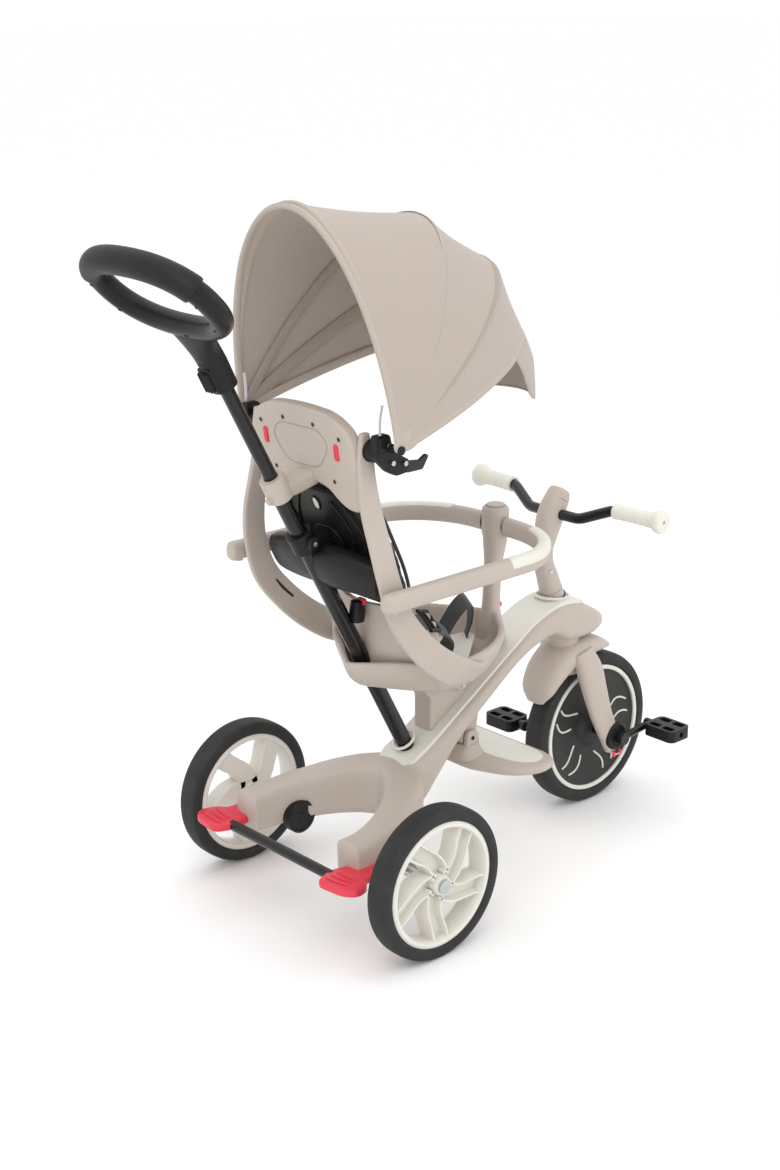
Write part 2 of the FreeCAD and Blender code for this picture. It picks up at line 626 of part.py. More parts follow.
def backrest_shell():
    body = new_body("backrest_shell", x="-27", z="592", rotation=turn(LEFT, -dim("back_lean")))
    half = dim("back_width") / 2
    outline = [(-half, -34), (-half, 62), (-60, 84), (0, 88), (60, 84), (half, 62), (half, -34), (70, -34),
               (44, -12), (0, -4), (-44, -12), (-70, -34)]
    radii = [8, 26, 60, 90, 60, 26, 8, 8, 30, 60, 30, 8]
    pad(body, sketch(body, "YZ_Plane", rounded(outline, radii)), "Dimensions.back_thickness")
    slots = []
    for side in SIDES.values():
        middle = side * 65.7
        slots += rounded([(middle - 4, 28), (middle + 4, 28), (middle + 4, 50), (middle - 4, 50)], 3.9)
    slot = sketch(body, "YZ_Plane", slots)
    slot.AttachmentOffset = FreeCAD.Placement(Vec(0, 0, -dim("back_thickness") / 2), FreeCAD.Rotation())
    pocket(body, slot, "8", middle=False, back=True)
    for y, z in ((72.7, 57), (28, 66), (54.7, 0)):
        for side in SIDES.values():
            start = Vec(-dim("back_thickness") / 2 - 1, side * y, z)
            rod(body, "Subtractive", "2.4", start, start + Vec(7, 0, 0))
    return body


def backrest_button(name, side):
    lean = turn(LEFT, -dim("back_lean"))
    body = new_body(name, x="-27", z="592", rotation=lean)
    middle = side * 65.7
    drawing = sketch(body, "YZ_Plane", rounded([(middle - 3.7, 28.3), (middle + 3.7, 28.3), (middle + 3.7, 49.7),
                                                (middle - 3.7, 49.7)], 3.6))
    drawing.AttachmentOffset = FreeCAD.Placement(Vec(0, 0, -dim("back_thickness") / 2 - 2.5), FreeCAD.Rotation())
    pad(body, drawing, "7.6", middle=False)
    return body


def panel_place(offset):
    """The back panel's plane leans back from a line low behind the seat."""
    lean = math.radians(dim("panel_lean"))
    return {"x": f"{44 + offset * math.cos(lean)}", "z": f"{412 + offset * math.sin(lean)}",
            "rotation": turn(LEFT, -dim("panel_lean"))}


def rear_panel():
    body = new_body("rear_panel", **panel_place(0))
    outline = rounded([(-62, 0), (-84, 60), (-80, 150), (-50, 168), (50, 168), (80, 150), (84, 60), (62, 0)], 24)
    pad(body, sketch(body, "YZ_Plane", outline), "Dimensions.panel_thickness")
    hole = rounded([(-5, 118), (5, 118), (5, 134), (-5, 134)], 4.9)
    pocket(body, sketch(body, "YZ_Plane", hole), "30")
    return body


def back_cushion():
    body = new_body("back_cushion", **panel_place(3 + dim("cushion_thickness") / 2))
    outline = rounded([(-88, 8), (-104, 66), (-92, 140), (-70, 160), (70, 160), (92, 140), (104, 66), (88, 8)], 28)
    pad(body, sketch(body, "YZ_Plane", outline), "Dimensions.cushion_thickness")
    return body


def side_rails():
    """Flat moulded bands from the backrest down to the seat's rim."""
    stations = [(-26, 95, 652, 7), (-25, 95, 632, 11), (-24, 95, 601, 13), (-24, 103, 566, 15),
                (-22, 118, 520, 16), (-15, 128, 475, 16), (2, 128, 425, 17), (36, 122, 380, 18),
                (84, 116, 346, 19), (104, 116, 318, 14)]
    wires = []
    for x, y, z, half in stations:
        points = [Vec(x - half, y, z), Vec(x + half, y, z), Vec(x + half, y + 6, z), Vec(x - half, y + 6, z)]
        wires.append(Part.makePolygon(points + points[:1]))
    band = Part.makeLoft(wires, True, True)
    bands = [band, mirrored(band)]
    feature("side_rails", *bands)


def ribbon(points, width, thickness):
    """A flat strap through points, its width level across each run."""
    wires = []
    for i, point in enumerate(points):
        along = points[min(i + 1, len(points) - 1)] - points[max(i - 1, 0)]
        across = along.cross(Vec(0.3, -0.5, 0.8)).normalize() * (width / 2)
        up = across.cross(along).normalize() * thickness
        corners = [point - across, point + across, point + across + up, point - across + up]
        wires.append(Part.makePolygon(corners + corners[:1]))
    return Part.makeLoft(wires, True, True)


def harness():
    """A strap from the right rail through a slider to the seat, and one over the child's lap."""
    side_strap = [Vec(45, -108, 406), Vec(75, -95, 395), Vec(112, -78, 375), Vec(150, -60, 348),
                  Vec(166, -34, 318), Vec(172, -8, 301)]
    lap_strap = [Vec(148, -52, 358), Vec(176, -46, 377), Vec(202, -36, 380), Vec(226, -20, 366),
                 Vec(240, -6, 336), Vec(240, 2, 302)]
    below = Part.makeBox(220, 240, 24, Vec(60, -120, 276.4))
    side = ribbon(side_strap, 24, 1.8).cut(below)
    feature("harness_straps", side, ribbon(lap_strap, 22, 1.8).cut(below))
    buckle = Part.makeBox(30, 32, 8, Vec(-15, -16, -4))
    for x in (-9, 2):
        buckle = buckle.cut(Part.makeBox(7, 25, 10, Vec(x, -12.5, -5)))
    buckle = buckle.makeFillet(1.5, [edge for edge in buckle.Edges if edge.Length > 29])
    buckle.Placement = FreeCAD.Placement(Vec(84, -90, 398), FreeCAD.Rotation(Vec(1, 0, 0), Vec(0.75, 0.42, -0.5)))
    feature("harness_buckle", buckle.cut(side))


def guard():
    height = dim("guard_height")
    hub_x = dim("guard_hub_x")
    hub = cylinder(dim("guard_hub_radius"), Vec(hub_x, 0, height - 17), Vec(hub_x, 0, height + 25))
    post = loft([disc_wire(Vec(288, 0, dim("seat_rim")), UP, dim("guard_post_radius")),
                 disc_wire(Vec(290, 0, 400), UP, 11), disc_wire(Vec(hub_x, 0, height - 17), UP, 15)])
    notch = Part.makeBox(20, 12.8, 6.8, Vec(292, -6.4, 341.6))
    feature("guard_post", hub.fuse(post).cut(notch).removeSplitter())
    half = dim("guard_half_width")
    radius = dim("guard_radius")
    start = Vec(dim("guard_pivot_x"), half, height)
    straight = Vec(195, half, height)
    centre = Vec(195, 34, height)
    oval = Part.Ellipse(straight, Vec(hub_x, 34, height), centre)
    low = oval.parameter(Vec(hub_x, 34, height))
    high = oval.parameter(straight)
    curve = Part.ArcOfEllipse(oval, min(low, high), max(low, high)).toShape()
    run = Part.LineSegment(start, straight).toShape()
    end = Part.LineSegment(Vec(hub_x, 34, height), Vec(hub_x, dim("guard_hub_radius") + 0.5, height)).toShape()
    path = Part.Wire(Part.__sortEdges__([run, curve, end]))
    arm = tube(path, radius)
    eye = cylinder(radius, start - UP * 9, start + UP * 9)
    arm = arm.fuse(eye).cut(cylinder(3.06, start - UP * 30, start + UP * 30)).removeSplitter()
    feature("guard_arm_left", arm)
    feature("guard_arm_right", mirrored(arm))
    pins = []
    for side in SIDES.values():
        foot = Vec(dim("guard_pivot_x"), side * half, height)
        pin = cylinder(3, foot - UP * 17.9, foot + UP * 14.6)
        for low in (-17.5, 12):
            ear = Part.makeBox(16, 23, 5, Vec(foot.x - 8, min(side * 134, side * 157), height + low))
            pin = pin.fuse(ear)
        pins.append(pin.removeSplitter())
    feature("guard_hinges", *pins)
    button = Part.makeBox(8, 12, 6, Vec(295.5, -6, 342))
    feature("guard_button", button)


# ---- footrest ----

def footrest():
    body = new_body("footrest_board", z="Dimensions.footrest_top")
    outline = [(222, -30), (244, -82), (278, -106), (310, -100), (318, -80), (318, 80), (310, 100), (278, 106),
               (244, 82), (222, 30)]
    drawing = sketch(body, "XY_Plane", rounded(outline, 14))
    pad(body, drawing, "Dimensions.footrest_thickness", middle=False, back=True)
    x = dim("footrest_pin_x")
    z = dim("footrest_pin_z") - dim("footrest_top")
    for side in SIDES.values():
        low = min(side * 10.5, side * 18)
        ear = sketch(body, "XZ_Plane", rounded([(x - 10, -2), (x + 12, -2), (x + 9, z + 8), (x - 9, z + 8)], 4))
        ear.AttachmentOffset = FreeCAD.Placement(Vec(0, 0, -low - 7.5), FreeCAD.Rotation())
        pad(body, ear, "7.5", middle=False)
    rod(body, "Subtractive", "Dimensions.footrest_pin_radius + 0.06", Vec(x, -30, z), Vec(x, 30, z))


# ---- canopy ----

def hoop_point(lean, along, across):
    """The point at a height along a hoop's plane and a distance across from its middle."""
    angle = math.radians(lean)
    return PIVOT + Vec(math.sin(angle), 0, math.cos(angle)) * along + LEFT * across


def hoop_arc(lean, half_width, height, low=0.0):
    """Half an oval in the hoop's plane, from the right pivot over the top to the left one."""
    oval = Part.Ellipse(hoop_point(lean, height, 0), hoop_point(lean, 0, half_width), PIVOT)
    if height < half_width:
        oval = Part.Ellipse(hoop_point(lean, 0, half_width), hoop_point(lean, height, 0), PIVOT)
    ends = []
    for side in (-1, 1):
        across = side * half_width * math.cos(low)
        ends.append(oval.parameter(hoop_point(lean, height * math.sin(low), across)))
    top = oval.parameter(hoop_point(lean, height, 0))
    low_end, high_end = min(ends), max(ends)
    if not low_end < top < high_end:
        low_end, high_end = high_end - 2 * math.pi, low_end
    return Part.ArcOfEllipse(oval, low_end, high_end).toShape()


def canopy_hoops():
    for index, (name, lean, height) in enumerate(HOOPS):
        half = dim("canopy_half_width") - 6 - index * dim("hoop_step")
        radius = dim("hoop_radius")
        arc = hoop_arc(lean, half, height - 4.6, low=6 / height)
        shape = tube(Part.Wire(arc), radius)
        for side in SIDES.values():
            inner = PIVOT + LEFT * side * (half - radius)
            outer = PIVOT + LEFT * side * (half + radius)
            shape = shape.fuse(cylinder(dim("hoop_hub_radius"), inner, outer))
        bore = dim("hoop_pin_bore") if index else dim("hoop_pin_radius")
        shape = shape.cut(cylinder(bore, PIVOT - LEFT * 170, PIVOT + LEFT * 170))
        feature(name, shape.removeSplitter())


def band(lean, height, thickness):
    """A thin closed band in a hoop's plane, the cloth's cut edge there."""
    half = dim("canopy_half_width")
    outer = hoop_arc(lean, half, height, low=0.16)
    inner = hoop_arc(lean, half - thickness, height - thickness, low=0.16)
    outer_ends = [outer.valueAt(outer.FirstParameter), outer.valueAt(outer.LastParameter)]
    inner_ends = [inner.valueAt(inner.FirstParameter), inner.valueAt(inner.LastParameter)]
    sides = [Part.LineSegment(a, b).toShape() for a, b in zip(outer_ends, inner_ends)]
    return Part.Wire(Part.__sortEdges__([outer, sides[1], inner, sides[0]]))


def canopy_cloth():
    """Three gores between the hoops and a visor that hangs before the front one."""
    cloth = dim("canopy_cloth")
    for index, name in enumerate(("canopy_gore_rear", "canopy_gore_middle", "canopy_gore_front")):
        lean_a, height_a = HOOPS[index][1:]
        lean_b, height_b = HOOPS[index + 1][1:]
        feature(name, Part.makeLoft([band(lean_a + 0.12, height_a, cloth), band(lean_b - 0.12, height_b, cloth)],
                                    True, True))
    lean, height = HOOPS[-1][1:]
    wires = []
    for extra, size, half in ((0.2, height, 96), (8, height + 12, 90), (15, height + 12, 74)):
        top = hoop_point(lean + extra, size, 0)
        edge = size * math.sqrt(1 - (half / dim("canopy_half_width")) ** 2)
        ends = [hoop_point(lean + extra, edge, -half), hoop_point(lean + extra, edge, half)]
        down = (top - PIVOT).normalize() * cloth
        outer = Part.Arc(ends[0], top, ends[1]).toShape()
        inner = Part.Arc(ends[0] - down, top - down, ends[1] - down).toShape()
        sides = [Part.LineSegment(end, end - down).toShape() for end in ends]
        wires.append(Part.Wire(Part.__sortEdges__([outer, sides[1], inner, sides[0]])))
    feature("canopy_visor", Part.makeLoft(wires, True, True))


def canopy_brackets():
    """Round sockets on the backrest's sides that carry the canopy's pivot pins."""
    solids = []
    for side in SIDES.values():
        middle = PIVOT + Vec(-5, 0, -8)
        socket = cylinder(12, middle + LEFT * side * 101, middle + LEFT * side * 117)
        pin = cylinder(dim("hoop_pin_radius"), PIVOT + LEFT * side * 110, PIVOT + LEFT * side * 150)
        cap = cylinder(9, PIVOT + LEFT * side * 144.4, PIVOT + LEFT * side * 150)
        arm = cylinder(10, PIVOT + LEFT * side * 111, PIVOT + LEFT * side * 119.5)
        solids.append(socket.fuse(pin).fuse(cap).fuse(arm).removeSplitter())
    feature("canopy_brackets", *solids)


def build():
    spine_shell()
    top_cover()
    rear_frame()
    rear_axles()
    footrest_lug()
    head_bearings()
    push_tubes()
    tube_collar()
    tube_clamp()
    handle()
    fork()
    fender()
    stem()
    handlebar()
    front_wheel()
    cranks()
    for name, side in SIDES.items():
        pedal(f"pedal_{name}", side)
        rear_wheel(name, side)
        backrest_button(f"backrest_button_{name}", side)
    brake()
    seat_bucket()
    seat_insert()
    seat_bracket()
    seat_lever()
    backrest_shell()
    rear_panel()
    back_cushion()
    side_rails()
    harness()
    guard()
    footrest()
    canopy_hoops()
    canopy_cloth()
    canopy_brackets()
    doc.recompute()


def write_steps():
    for item in doc.Objects:
        if "Invalid" in item.State or "Error" in item.State:
            raise RuntimeError(f"{item.Name} did not recompute: {item.State}")
    os.makedirs("parts", exist_ok=True)
    for item in parts:
        shape = item.Shape
        if shape.isNull() or not shape.isValid() or not shape.Solids:
            raise RuntimeError(f"{item.Label} has no valid solid")
        shape.exportStep(f"parts/{item.Label}.step")
        print(f"{item.Label:24s} {len(shape.Solids)} solids {shape.Volume / 1000:9.1f} cm3")
    print(len(parts), "sub-parts")


build()
write_steps()
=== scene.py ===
# %% [markdown]
# # A child's push tricycle
# The model has moulded beige shells on a short frame, white spoked wheels behind, a disc wheel in
# front, a slanted push tube with an oval handle, a guard ring round the seat and a cloth canopy.
# Every new piece is a grid of points worked out with numpy and put where the CAD frame says.

# %% Load the fixed frame
import json
import math

import bpy
import numpy as np
from mathutils import Matrix


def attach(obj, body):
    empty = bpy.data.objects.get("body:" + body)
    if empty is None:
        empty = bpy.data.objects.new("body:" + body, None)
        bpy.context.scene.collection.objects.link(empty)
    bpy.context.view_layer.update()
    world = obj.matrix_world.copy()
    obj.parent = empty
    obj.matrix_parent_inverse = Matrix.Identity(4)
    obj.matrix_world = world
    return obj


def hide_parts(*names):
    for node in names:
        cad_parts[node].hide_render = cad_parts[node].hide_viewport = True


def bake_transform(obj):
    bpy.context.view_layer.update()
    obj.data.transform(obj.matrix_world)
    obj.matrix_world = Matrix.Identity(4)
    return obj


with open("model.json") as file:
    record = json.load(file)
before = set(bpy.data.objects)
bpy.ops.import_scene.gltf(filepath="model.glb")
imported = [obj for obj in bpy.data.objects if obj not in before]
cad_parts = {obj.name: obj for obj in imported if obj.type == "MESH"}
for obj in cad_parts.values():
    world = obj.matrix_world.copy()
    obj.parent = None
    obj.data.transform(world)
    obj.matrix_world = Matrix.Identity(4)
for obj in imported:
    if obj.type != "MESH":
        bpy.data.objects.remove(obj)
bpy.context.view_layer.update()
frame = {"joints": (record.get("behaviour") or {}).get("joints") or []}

JOINTS = {joint["name"]: joint for joint in frame["joints"]}
REAR_AXLE_X = JOINTS["rear_wheel_left_spin"]["pos_m"][0]

# %% [markdown]
# ## Measures
# Lengths in this lesson are in millimetres, with x counted forward from the rear axle, y to the
# rider's left and z up from the floor. One function turns them into the metres of the CAD frame.

# %% Millimetres from the rear axle into the frame's metres
def metres(points):
    """Divide by 1000 and slide forward by the rear axle's x."""
    return np.asarray(points, float) / 1000 + [REAR_AXLE_X, 0, 0]


def joint_mm(name):
    """The joint's point, in millimetres from the rear axle."""
    return (np.array(JOINTS[name]["pos_m"]) - [REAR_AXLE_X, 0, 0]) * 1000


FRONT_AXLE = joint_mm("front_wheel_spin")
HOOP_PIVOT = joint_mm("canopy_fold")
STEER = np.array(JOINTS["steering_turn"]["axis"], float)
TUBE = np.array(JOINTS["handle_height"]["axis"], float)
TUBE_FOOT = np.array([142.6, 0, 158.7])
X = np.array([1.0, 0, 0])
Y = np.array([0, 1.0, 0])
Z = np.array([0, 0, 1.0])
SIDES = {"left": 1, "right": -1}
print("front axle", FRONT_AXLE.round(1), "canopy pivot", HOOP_PIVOT.round(1))


def on_steering(distance):
    """The point this far up the steering axis from the front axle."""
    return FRONT_AXLE + STEER * distance


def on_tube(distance):
    """The point this far up the push tube from its foot."""
    return TUBE_FOOT + TUBE * distance


# %% [markdown]
# ## Curves
# A maker draws a shape with a few stations and lets a smooth line run through them. The line here
# is a cubic through every station, so the stations are the shape's real sizes.

# %% A cubic through stations, a rounded section, and unit vectors
def through(stations, count):
    """Hermite cubic: each span's end slopes are the slopes of the chords beside it.
    The first three columns are a place, and any others, such as half sizes, follow along."""
    p = np.asarray(stations, float)
    knots = np.concatenate([[0], np.cumsum(np.linalg.norm(np.diff(p[:, :3], axis=0), axis=1))])
    slopes = np.gradient(p, knots, axis=0)
    s = np.linspace(0, knots[-1], count)
    i = np.clip(np.searchsorted(knots, s, side="right") - 1, 0, len(p) - 2)
    h = (knots[i + 1] - knots[i])[:, None]
    t = (s - knots[i])[:, None] / h
    return (p[i] * (2 * t**3 - 3 * t**2 + 1) + slopes[i] * h * (t**3 - 2 * t**2 + t)
            + p[i + 1] * (3 * t**2 - 2 * t**3) + slopes[i + 1] * h * (t**3 - t**2))


def height_at(x, line):
    """Read a smooth line of (x, z) stations at the given x."""
    line = np.asarray(line, float)
    dense = through(np.column_stack([line[:, 0], np.zeros(len(line)), line[:, 1]]), 400)
    return np.interp(x, dense[:, 0], dense[:, 2])


def ring_of(count, power=2.0):
    """Superellipse: cosine and sine of the angle, each raised to 2/power and keeping its sign."""
    angle = np.linspace(0, 2 * np.pi, count, endpoint=False)
    c = np.cos(angle)
    s = np.sin(angle)
    return np.column_stack([np.sign(c) * np.abs(c) ** (2 / power), np.sign(s) * np.abs(s) ** (2 / power)])


def unit(v):
    """Each vector divided by its own length."""
    v = np.asarray(v, float)
    return v / np.linalg.norm(v, axis=-1, keepdims=True)


print("ring of 8 at power 4:", ring_of(8, 4).round(2).tolist())

# %% [markdown]
# ## From a grid of points to a mesh
# A grid of rows and columns becomes quads. It may wrap round in either direction, and its two end
# rows may be closed by a face, so every solid piece is watertight. The signed volume says whether
# the faces point outwards, and they are turned round when it is negative.

# %% Build a mesh piece from a grid
def quads(rows, columns, wrap_rows, wrap_columns):
    """The four corners of every cell, with indices taken round the end where the grid wraps."""
    i, j = np.meshgrid(np.arange(rows - (not wrap_rows)), np.arange(columns - (not wrap_columns)), indexing="ij")
    i = i.ravel()
    j = j.ravel()
    i2 = (i + 1) % rows
    j2 = (j + 1) % columns
    return np.column_stack([i * columns + j, i2 * columns + j, i2 * columns + j2, i * columns + j2])


def signed_volume(points, faces):
    """A sixth of the sum of corner triple products over each quad's two triangles."""
    a, b, c, d = (points[faces[:, k]] for k in range(4))
    return (np.einsum("ij,ij->i", a, np.cross(b, c)) + np.einsum("ij,ij->i", a, np.cross(c, d))).sum() / 6


def mesh_piece(name, points, faces, ends=(), crease=35, uv=None):
    """Points in millimetres and faces into an object at the origin, smooth but for sharp creases."""
    mesh = bpy.data.meshes.new(name)
    polygons = [face.tolist() for face in faces] + [list(end) for end in ends]
    mesh.from_pydata(metres(points).tolist(), [], polygons)
    mesh.polygons.foreach_set("use_smooth", np.ones(len(polygons), bool))
    mesh.set_sharp_from_angle(angle=math.radians(crease))
    if uv is not None:
        corners = np.zeros(len(mesh.loops), int)
        mesh.loops.foreach_get("vertex_index", corners)
        layer = mesh.uv_layers.new(name="cut")
        layer.uv.foreach_set("vector", np.asarray(uv, np.float32)[corners].ravel())
    piece = bpy.data.objects.new(name, mesh)
    bpy.context.scene.collection.objects.link(piece)
    return piece


def solid(name, grid, around=True, loop=False, crease=35):
    """A closed skin: columns run round the section, rows along the piece, end rows are capped
    unless the piece is itself a loop."""
    rows, columns = grid.shape[:2]
    points = grid.reshape(-1, 3)
    faces = quads(rows, columns, loop, around)
    ends = [] if loop else [np.arange(columns)[::-1], (rows - 1) * columns + np.arange(columns)]
    if signed_volume(points - points.mean(0), faces) < 0:
        faces = faces[:, ::-1]
        ends = [end[::-1] for end in ends]
    return mesh_piece(name, points, faces, ends, crease)


def cloth(name, grid, thickness, flat, crease=60):
    """A sheet with two faces: the grid, and the same grid moved back along its normals, joined
    round the rim. flat holds each grid point's place in the uncut cloth, in metres."""
    rows, columns = grid.shape[:2]
    normal = unit(np.cross(np.gradient(grid, axis=0), np.gradient(grid, axis=1)) + 1e-9)
    points = np.concatenate([grid.reshape(-1, 3), (grid - normal * thickness).reshape(-1, 3)])
    outer = quads(rows, columns, False, False)
    inner = outer[:, ::-1] + rows * columns
    index = np.arange(rows * columns).reshape(rows, columns)
    rim = np.concatenate([index[0, :-1], index[:-1, -1], index[-1, :0:-1], index[:0:-1, 0]])
    after = np.roll(rim, -1)
    edge = np.column_stack([rim, after, after + rows * columns, rim + rows * columns])
    faces = np.concatenate([outer, inner, edge])
    if signed_volume(points - points.mean(0), faces) < 0:
        faces = faces[:, ::-1]
    return mesh_piece(name, points, faces, (), crease, np.concatenate([flat.reshape(-1, 2)] * 2))


def join(name, pieces):
    """Several meshes made one object, each keeping its own material."""
    with bpy.context.temp_override(active_object=pieces[0], object=pieces[0],
                                   selected_objects=pieces, selected_editable_objects=pieces):
        bpy.ops.object.join()
    pieces[0].name = name
    return pieces[0]


# %% [markdown]
# ## Four ways to make a moulding
# A limb carries a rounded section along a line, a turning spins a profile round an axis, a slab is
# a flat outline with rounded edges, and a pipe is a limb with one radius.

# %% Limb, pipe, turning and slab
def limb(name, stations, up=Z, power=2.0, count=60, sides=40, tip=(0.0, 0.0), loop=False, crease=35):
    """Stations hold x, y, z, half width across and half height along up. The section is a
    superellipse in the plane across the line. tip is how far each end bulges, as a half oval."""
    line = through(stations, count)
    if loop:
        line = line[:-1]
        tangent = unit(np.roll(line[:, :3], -1, 0) - np.roll(line[:, :3], 1, 0))
    else:
        tangent = unit(np.gradient(line[:, :3], axis=0))
    across = unit(np.cross(np.broadcast_to(up, tangent.shape), tangent))
    over = np.cross(tangent, across)
    section = ring_of(sides, power)
    steps = np.sin(np.linspace(0, np.pi / 2, 7))[1:]
    fade = np.cos(np.linspace(0, np.pi / 2, 7))[1:] + 0.02
    rows = [(line[i, :3], across[i], over[i], line[i, 3], line[i, 4]) for i in range(len(line))]
    for end, far in ((0, -1), (-1, 1)):
        if tip[end] and not loop:
            extra = [(line[end, :3] + tangent[end] * far * tip[end] * k, across[end], over[end],
                      line[end, 3] * f, line[end, 4] * f) for k, f in zip(steps, fade)]
            rows = extra[::-1] + rows if end == 0 else rows + extra
    centre, side, top, wide, tall = (np.array([row[k] for row in rows]) for k in range(5))
    grid = (centre[:, None] + side[:, None] * (wide[:, None] * section[:, 0])[..., None]
            + top[:, None] * (tall[:, None] * section[:, 1])[..., None])
    return solid(name, grid, loop=loop, crease=crease)


def pipe(name, points, radius, up=Z, count=60, sides=20, tip=0.0, loop=False):
    """A limb whose two half sizes are one radius."""
    points = np.asarray(points, float)
    sizes = np.full((len(points), 2), radius)
    return limb(name, np.column_stack([points, sizes]), up, 2.0, count, sides, (tip, tip), loop)


def turning(name, profile, centre, axis, steps=96, loop=False, crease=30):
    """Spin (radius, height) points round an axis: centre + axis * height + radius * (cos, sin)
    in the plane across the axis. A profile that closes on itself is a loop; another is capped."""
    profile = np.asarray(profile, float)
    axis = unit(axis)
    first = unit(np.cross(axis, [0.31, 0.2, 0.93]))
    second = np.cross(axis, first)
    angle = np.linspace(0, 2 * np.pi, steps, endpoint=False)
    spoke = np.cos(angle)[:, None] * first + np.sin(angle)[:, None] * second
    grid = centre + axis * profile[:, 1][:, None, None] + spoke * profile[:, 0][:, None, None]
    return solid(name, grid, loop=loop, crease=crease)


def slab(name, outline, thickness, place, power=6.0, warp=None, rings=22, crease=35):
    """A flat piece: the outline shrinks towards its centre while the height rises, so that
    (shrink ** power + height ** power) = 1 rounds the edge. place turns (u, v, w) into a point."""
    outline = np.asarray(outline, float)
    middle = outline.mean(0)
    angle = np.linspace(-np.pi / 2, np.pi / 2, rings)
    shrink = np.maximum(np.abs(np.cos(angle)) ** (2 / power), 0.02)
    shrink = np.where(np.arange(rings) % (rings - 1) == 0, 0.02, shrink)
    height = np.sign(np.sin(angle)) * np.abs(np.sin(angle)) ** (2 / power) * thickness / 2
    flat = middle + (outline - middle)[None] * shrink[:, None, None]
    local = np.dstack([flat, np.broadcast_to(height[:, None], flat.shape[:2])])
    if warp is not None:
        local = warp(local)
    origin, u, v, w = place
    grid = np.asarray(origin) + local[..., :1] * u + local[..., 1:2] * v + local[..., 2:] * w
    return solid(name, grid, crease=crease)


def closed_through(points, count):
    """The smooth closed line through (u, v) points: the loop is drawn one and a bit times round,
    and the middle turn is kept."""
    p = np.asarray(points, float)
    long = np.concatenate([p[-3:], p, p[:4]])
    stations = np.column_stack([long, np.zeros(len(long))])
    dense = through(stations, 1200)
    knots = np.concatenate([[0], np.cumsum(np.linalg.norm(np.diff(long, axis=0), axis=1))])
    low = knots[3] / knots[-1] * 1199
    high = knots[3 + len(p)] / knots[-1] * 1199
    where = np.linspace(low, high, count, endpoint=False)
    return np.column_stack([np.interp(where, np.arange(1200), dense[:, k]) for k in (0, 1)])


def rounded(points, radius, steps=9):
    """A closed outline with each corner drawn as a parabola that starts and ends radius short of
    the corner, or nearly half way along a side that is too short."""
    p = np.asarray(points, float)
    back = np.roll(p, 1, 0) - p
    on = np.roll(p, -1, 0) - p
    size = np.broadcast_to(np.asarray(radius, float), len(p))
    reach = np.minimum(size, 0.48 * np.minimum(np.linalg.norm(back, axis=1), np.linalg.norm(on, axis=1)))[:, None]
    t = np.linspace(0, 1, steps)[None, :, None]
    start = (p + unit(back) * reach)[:, None]
    end = (p + unit(on) * reach)[:, None]
    curve = start * (1 - t) ** 2 + 2 * p[:, None] * t * (1 - t) + end * t**2
    corners = curve.reshape(-1, 2)
    gap = np.linalg.norm(np.roll(corners, -1, 0) - corners, axis=1)
    knots = np.concatenate([[0], np.cumsum(gap)])
    at = np.linspace(0, knots[-1], 16 * len(p), endpoint=False)
    closed = np.concatenate([corners, corners[:1]])
    return np.column_stack([np.interp(at, knots, closed[:, k]) for k in (0, 1)])


def with_ring(centre, across, up, radius, count):
    """Points of a circle whose two directions are given; the last repeats the first."""
    a = np.linspace(0, 2 * np.pi, count + 1)[:, None]
    return np.asarray(centre, float) + np.asarray(across) * radius * np.cos(a) + np.asarray(up) * radius * np.sin(a)


print("helpers ready")

# %% [markdown]
# ## Finishes
# The shells are injection-moulded polypropylene with a fine spark-eroded grain, which gives a soft
# highlight. Its colour drifts by a percent or two over the piece. The grain is about half a
# millimetre on the real thing and is drawn at two millimetres so that it shows.

# %% Colours and the one function that adds a node
def linear(code):
    """sRGB hex to linear: divide by 12.92 below the toe, else raise (c + 0.055) / 1.055 to 2.4."""
    srgb = np.array([int(code[i:i + 2], 16) / 255 for i in (1, 3, 5)])
    low = srgb / 12.92
    high = ((srgb + 0.055) / 1.055) ** 2.4
    return [float(v) for v in np.where(srgb <= 0.04045, low, high)] + [1.0]


def add(tree, kind, inputs=None, **settings):
    """Add a node, set its properties, and fill each input with a value or a link."""
    item = tree.nodes.new(kind)
    for key, value in settings.items():
        setattr(item, key, value)
    for key, value in (inputs or {}).items():
        if isinstance(value, bpy.types.NodeSocket):
            tree.links.new(value, item.inputs[key])
        else:
            item.inputs[key].default_value = value
    return item


def surface(name, code, roughness, **fixed):
    """A new material with its shader, whose constant values sit on the shader's own sockets."""
    material = bpy.data.materials.new(name)
    material.use_nodes = True
    tree = material.node_tree
    shader = tree.nodes["Principled BSDF"]
    shader.inputs["Base Color"].default_value = linear(code)
    shader.inputs["Roughness"].default_value = roughness
    for key, value in fixed.items():
        shader.inputs[key.replace("_", " ")].default_value = value
    return material, tree, shader


def mottle(tree, where, code, other, size_mm):
    """A slow drift between two close colours, each patch about size_mm across."""
    noise = add(tree, "ShaderNodeTexNoise", {"Vector": where, "Scale": 1000 / size_mm, "Detail": 3.0})
    ramp = add(tree, "ShaderNodeValToRGB", {"Fac": noise.outputs["Fac"]})
    ramp.color_ramp.elements[0].position = 0.3
    ramp.color_ramp.elements[0].color = linear(code)
    ramp.color_ramp.elements[1].position = 0.7
    ramp.color_ramp.elements[1].color = linear(other)
    return ramp.outputs["Color"]


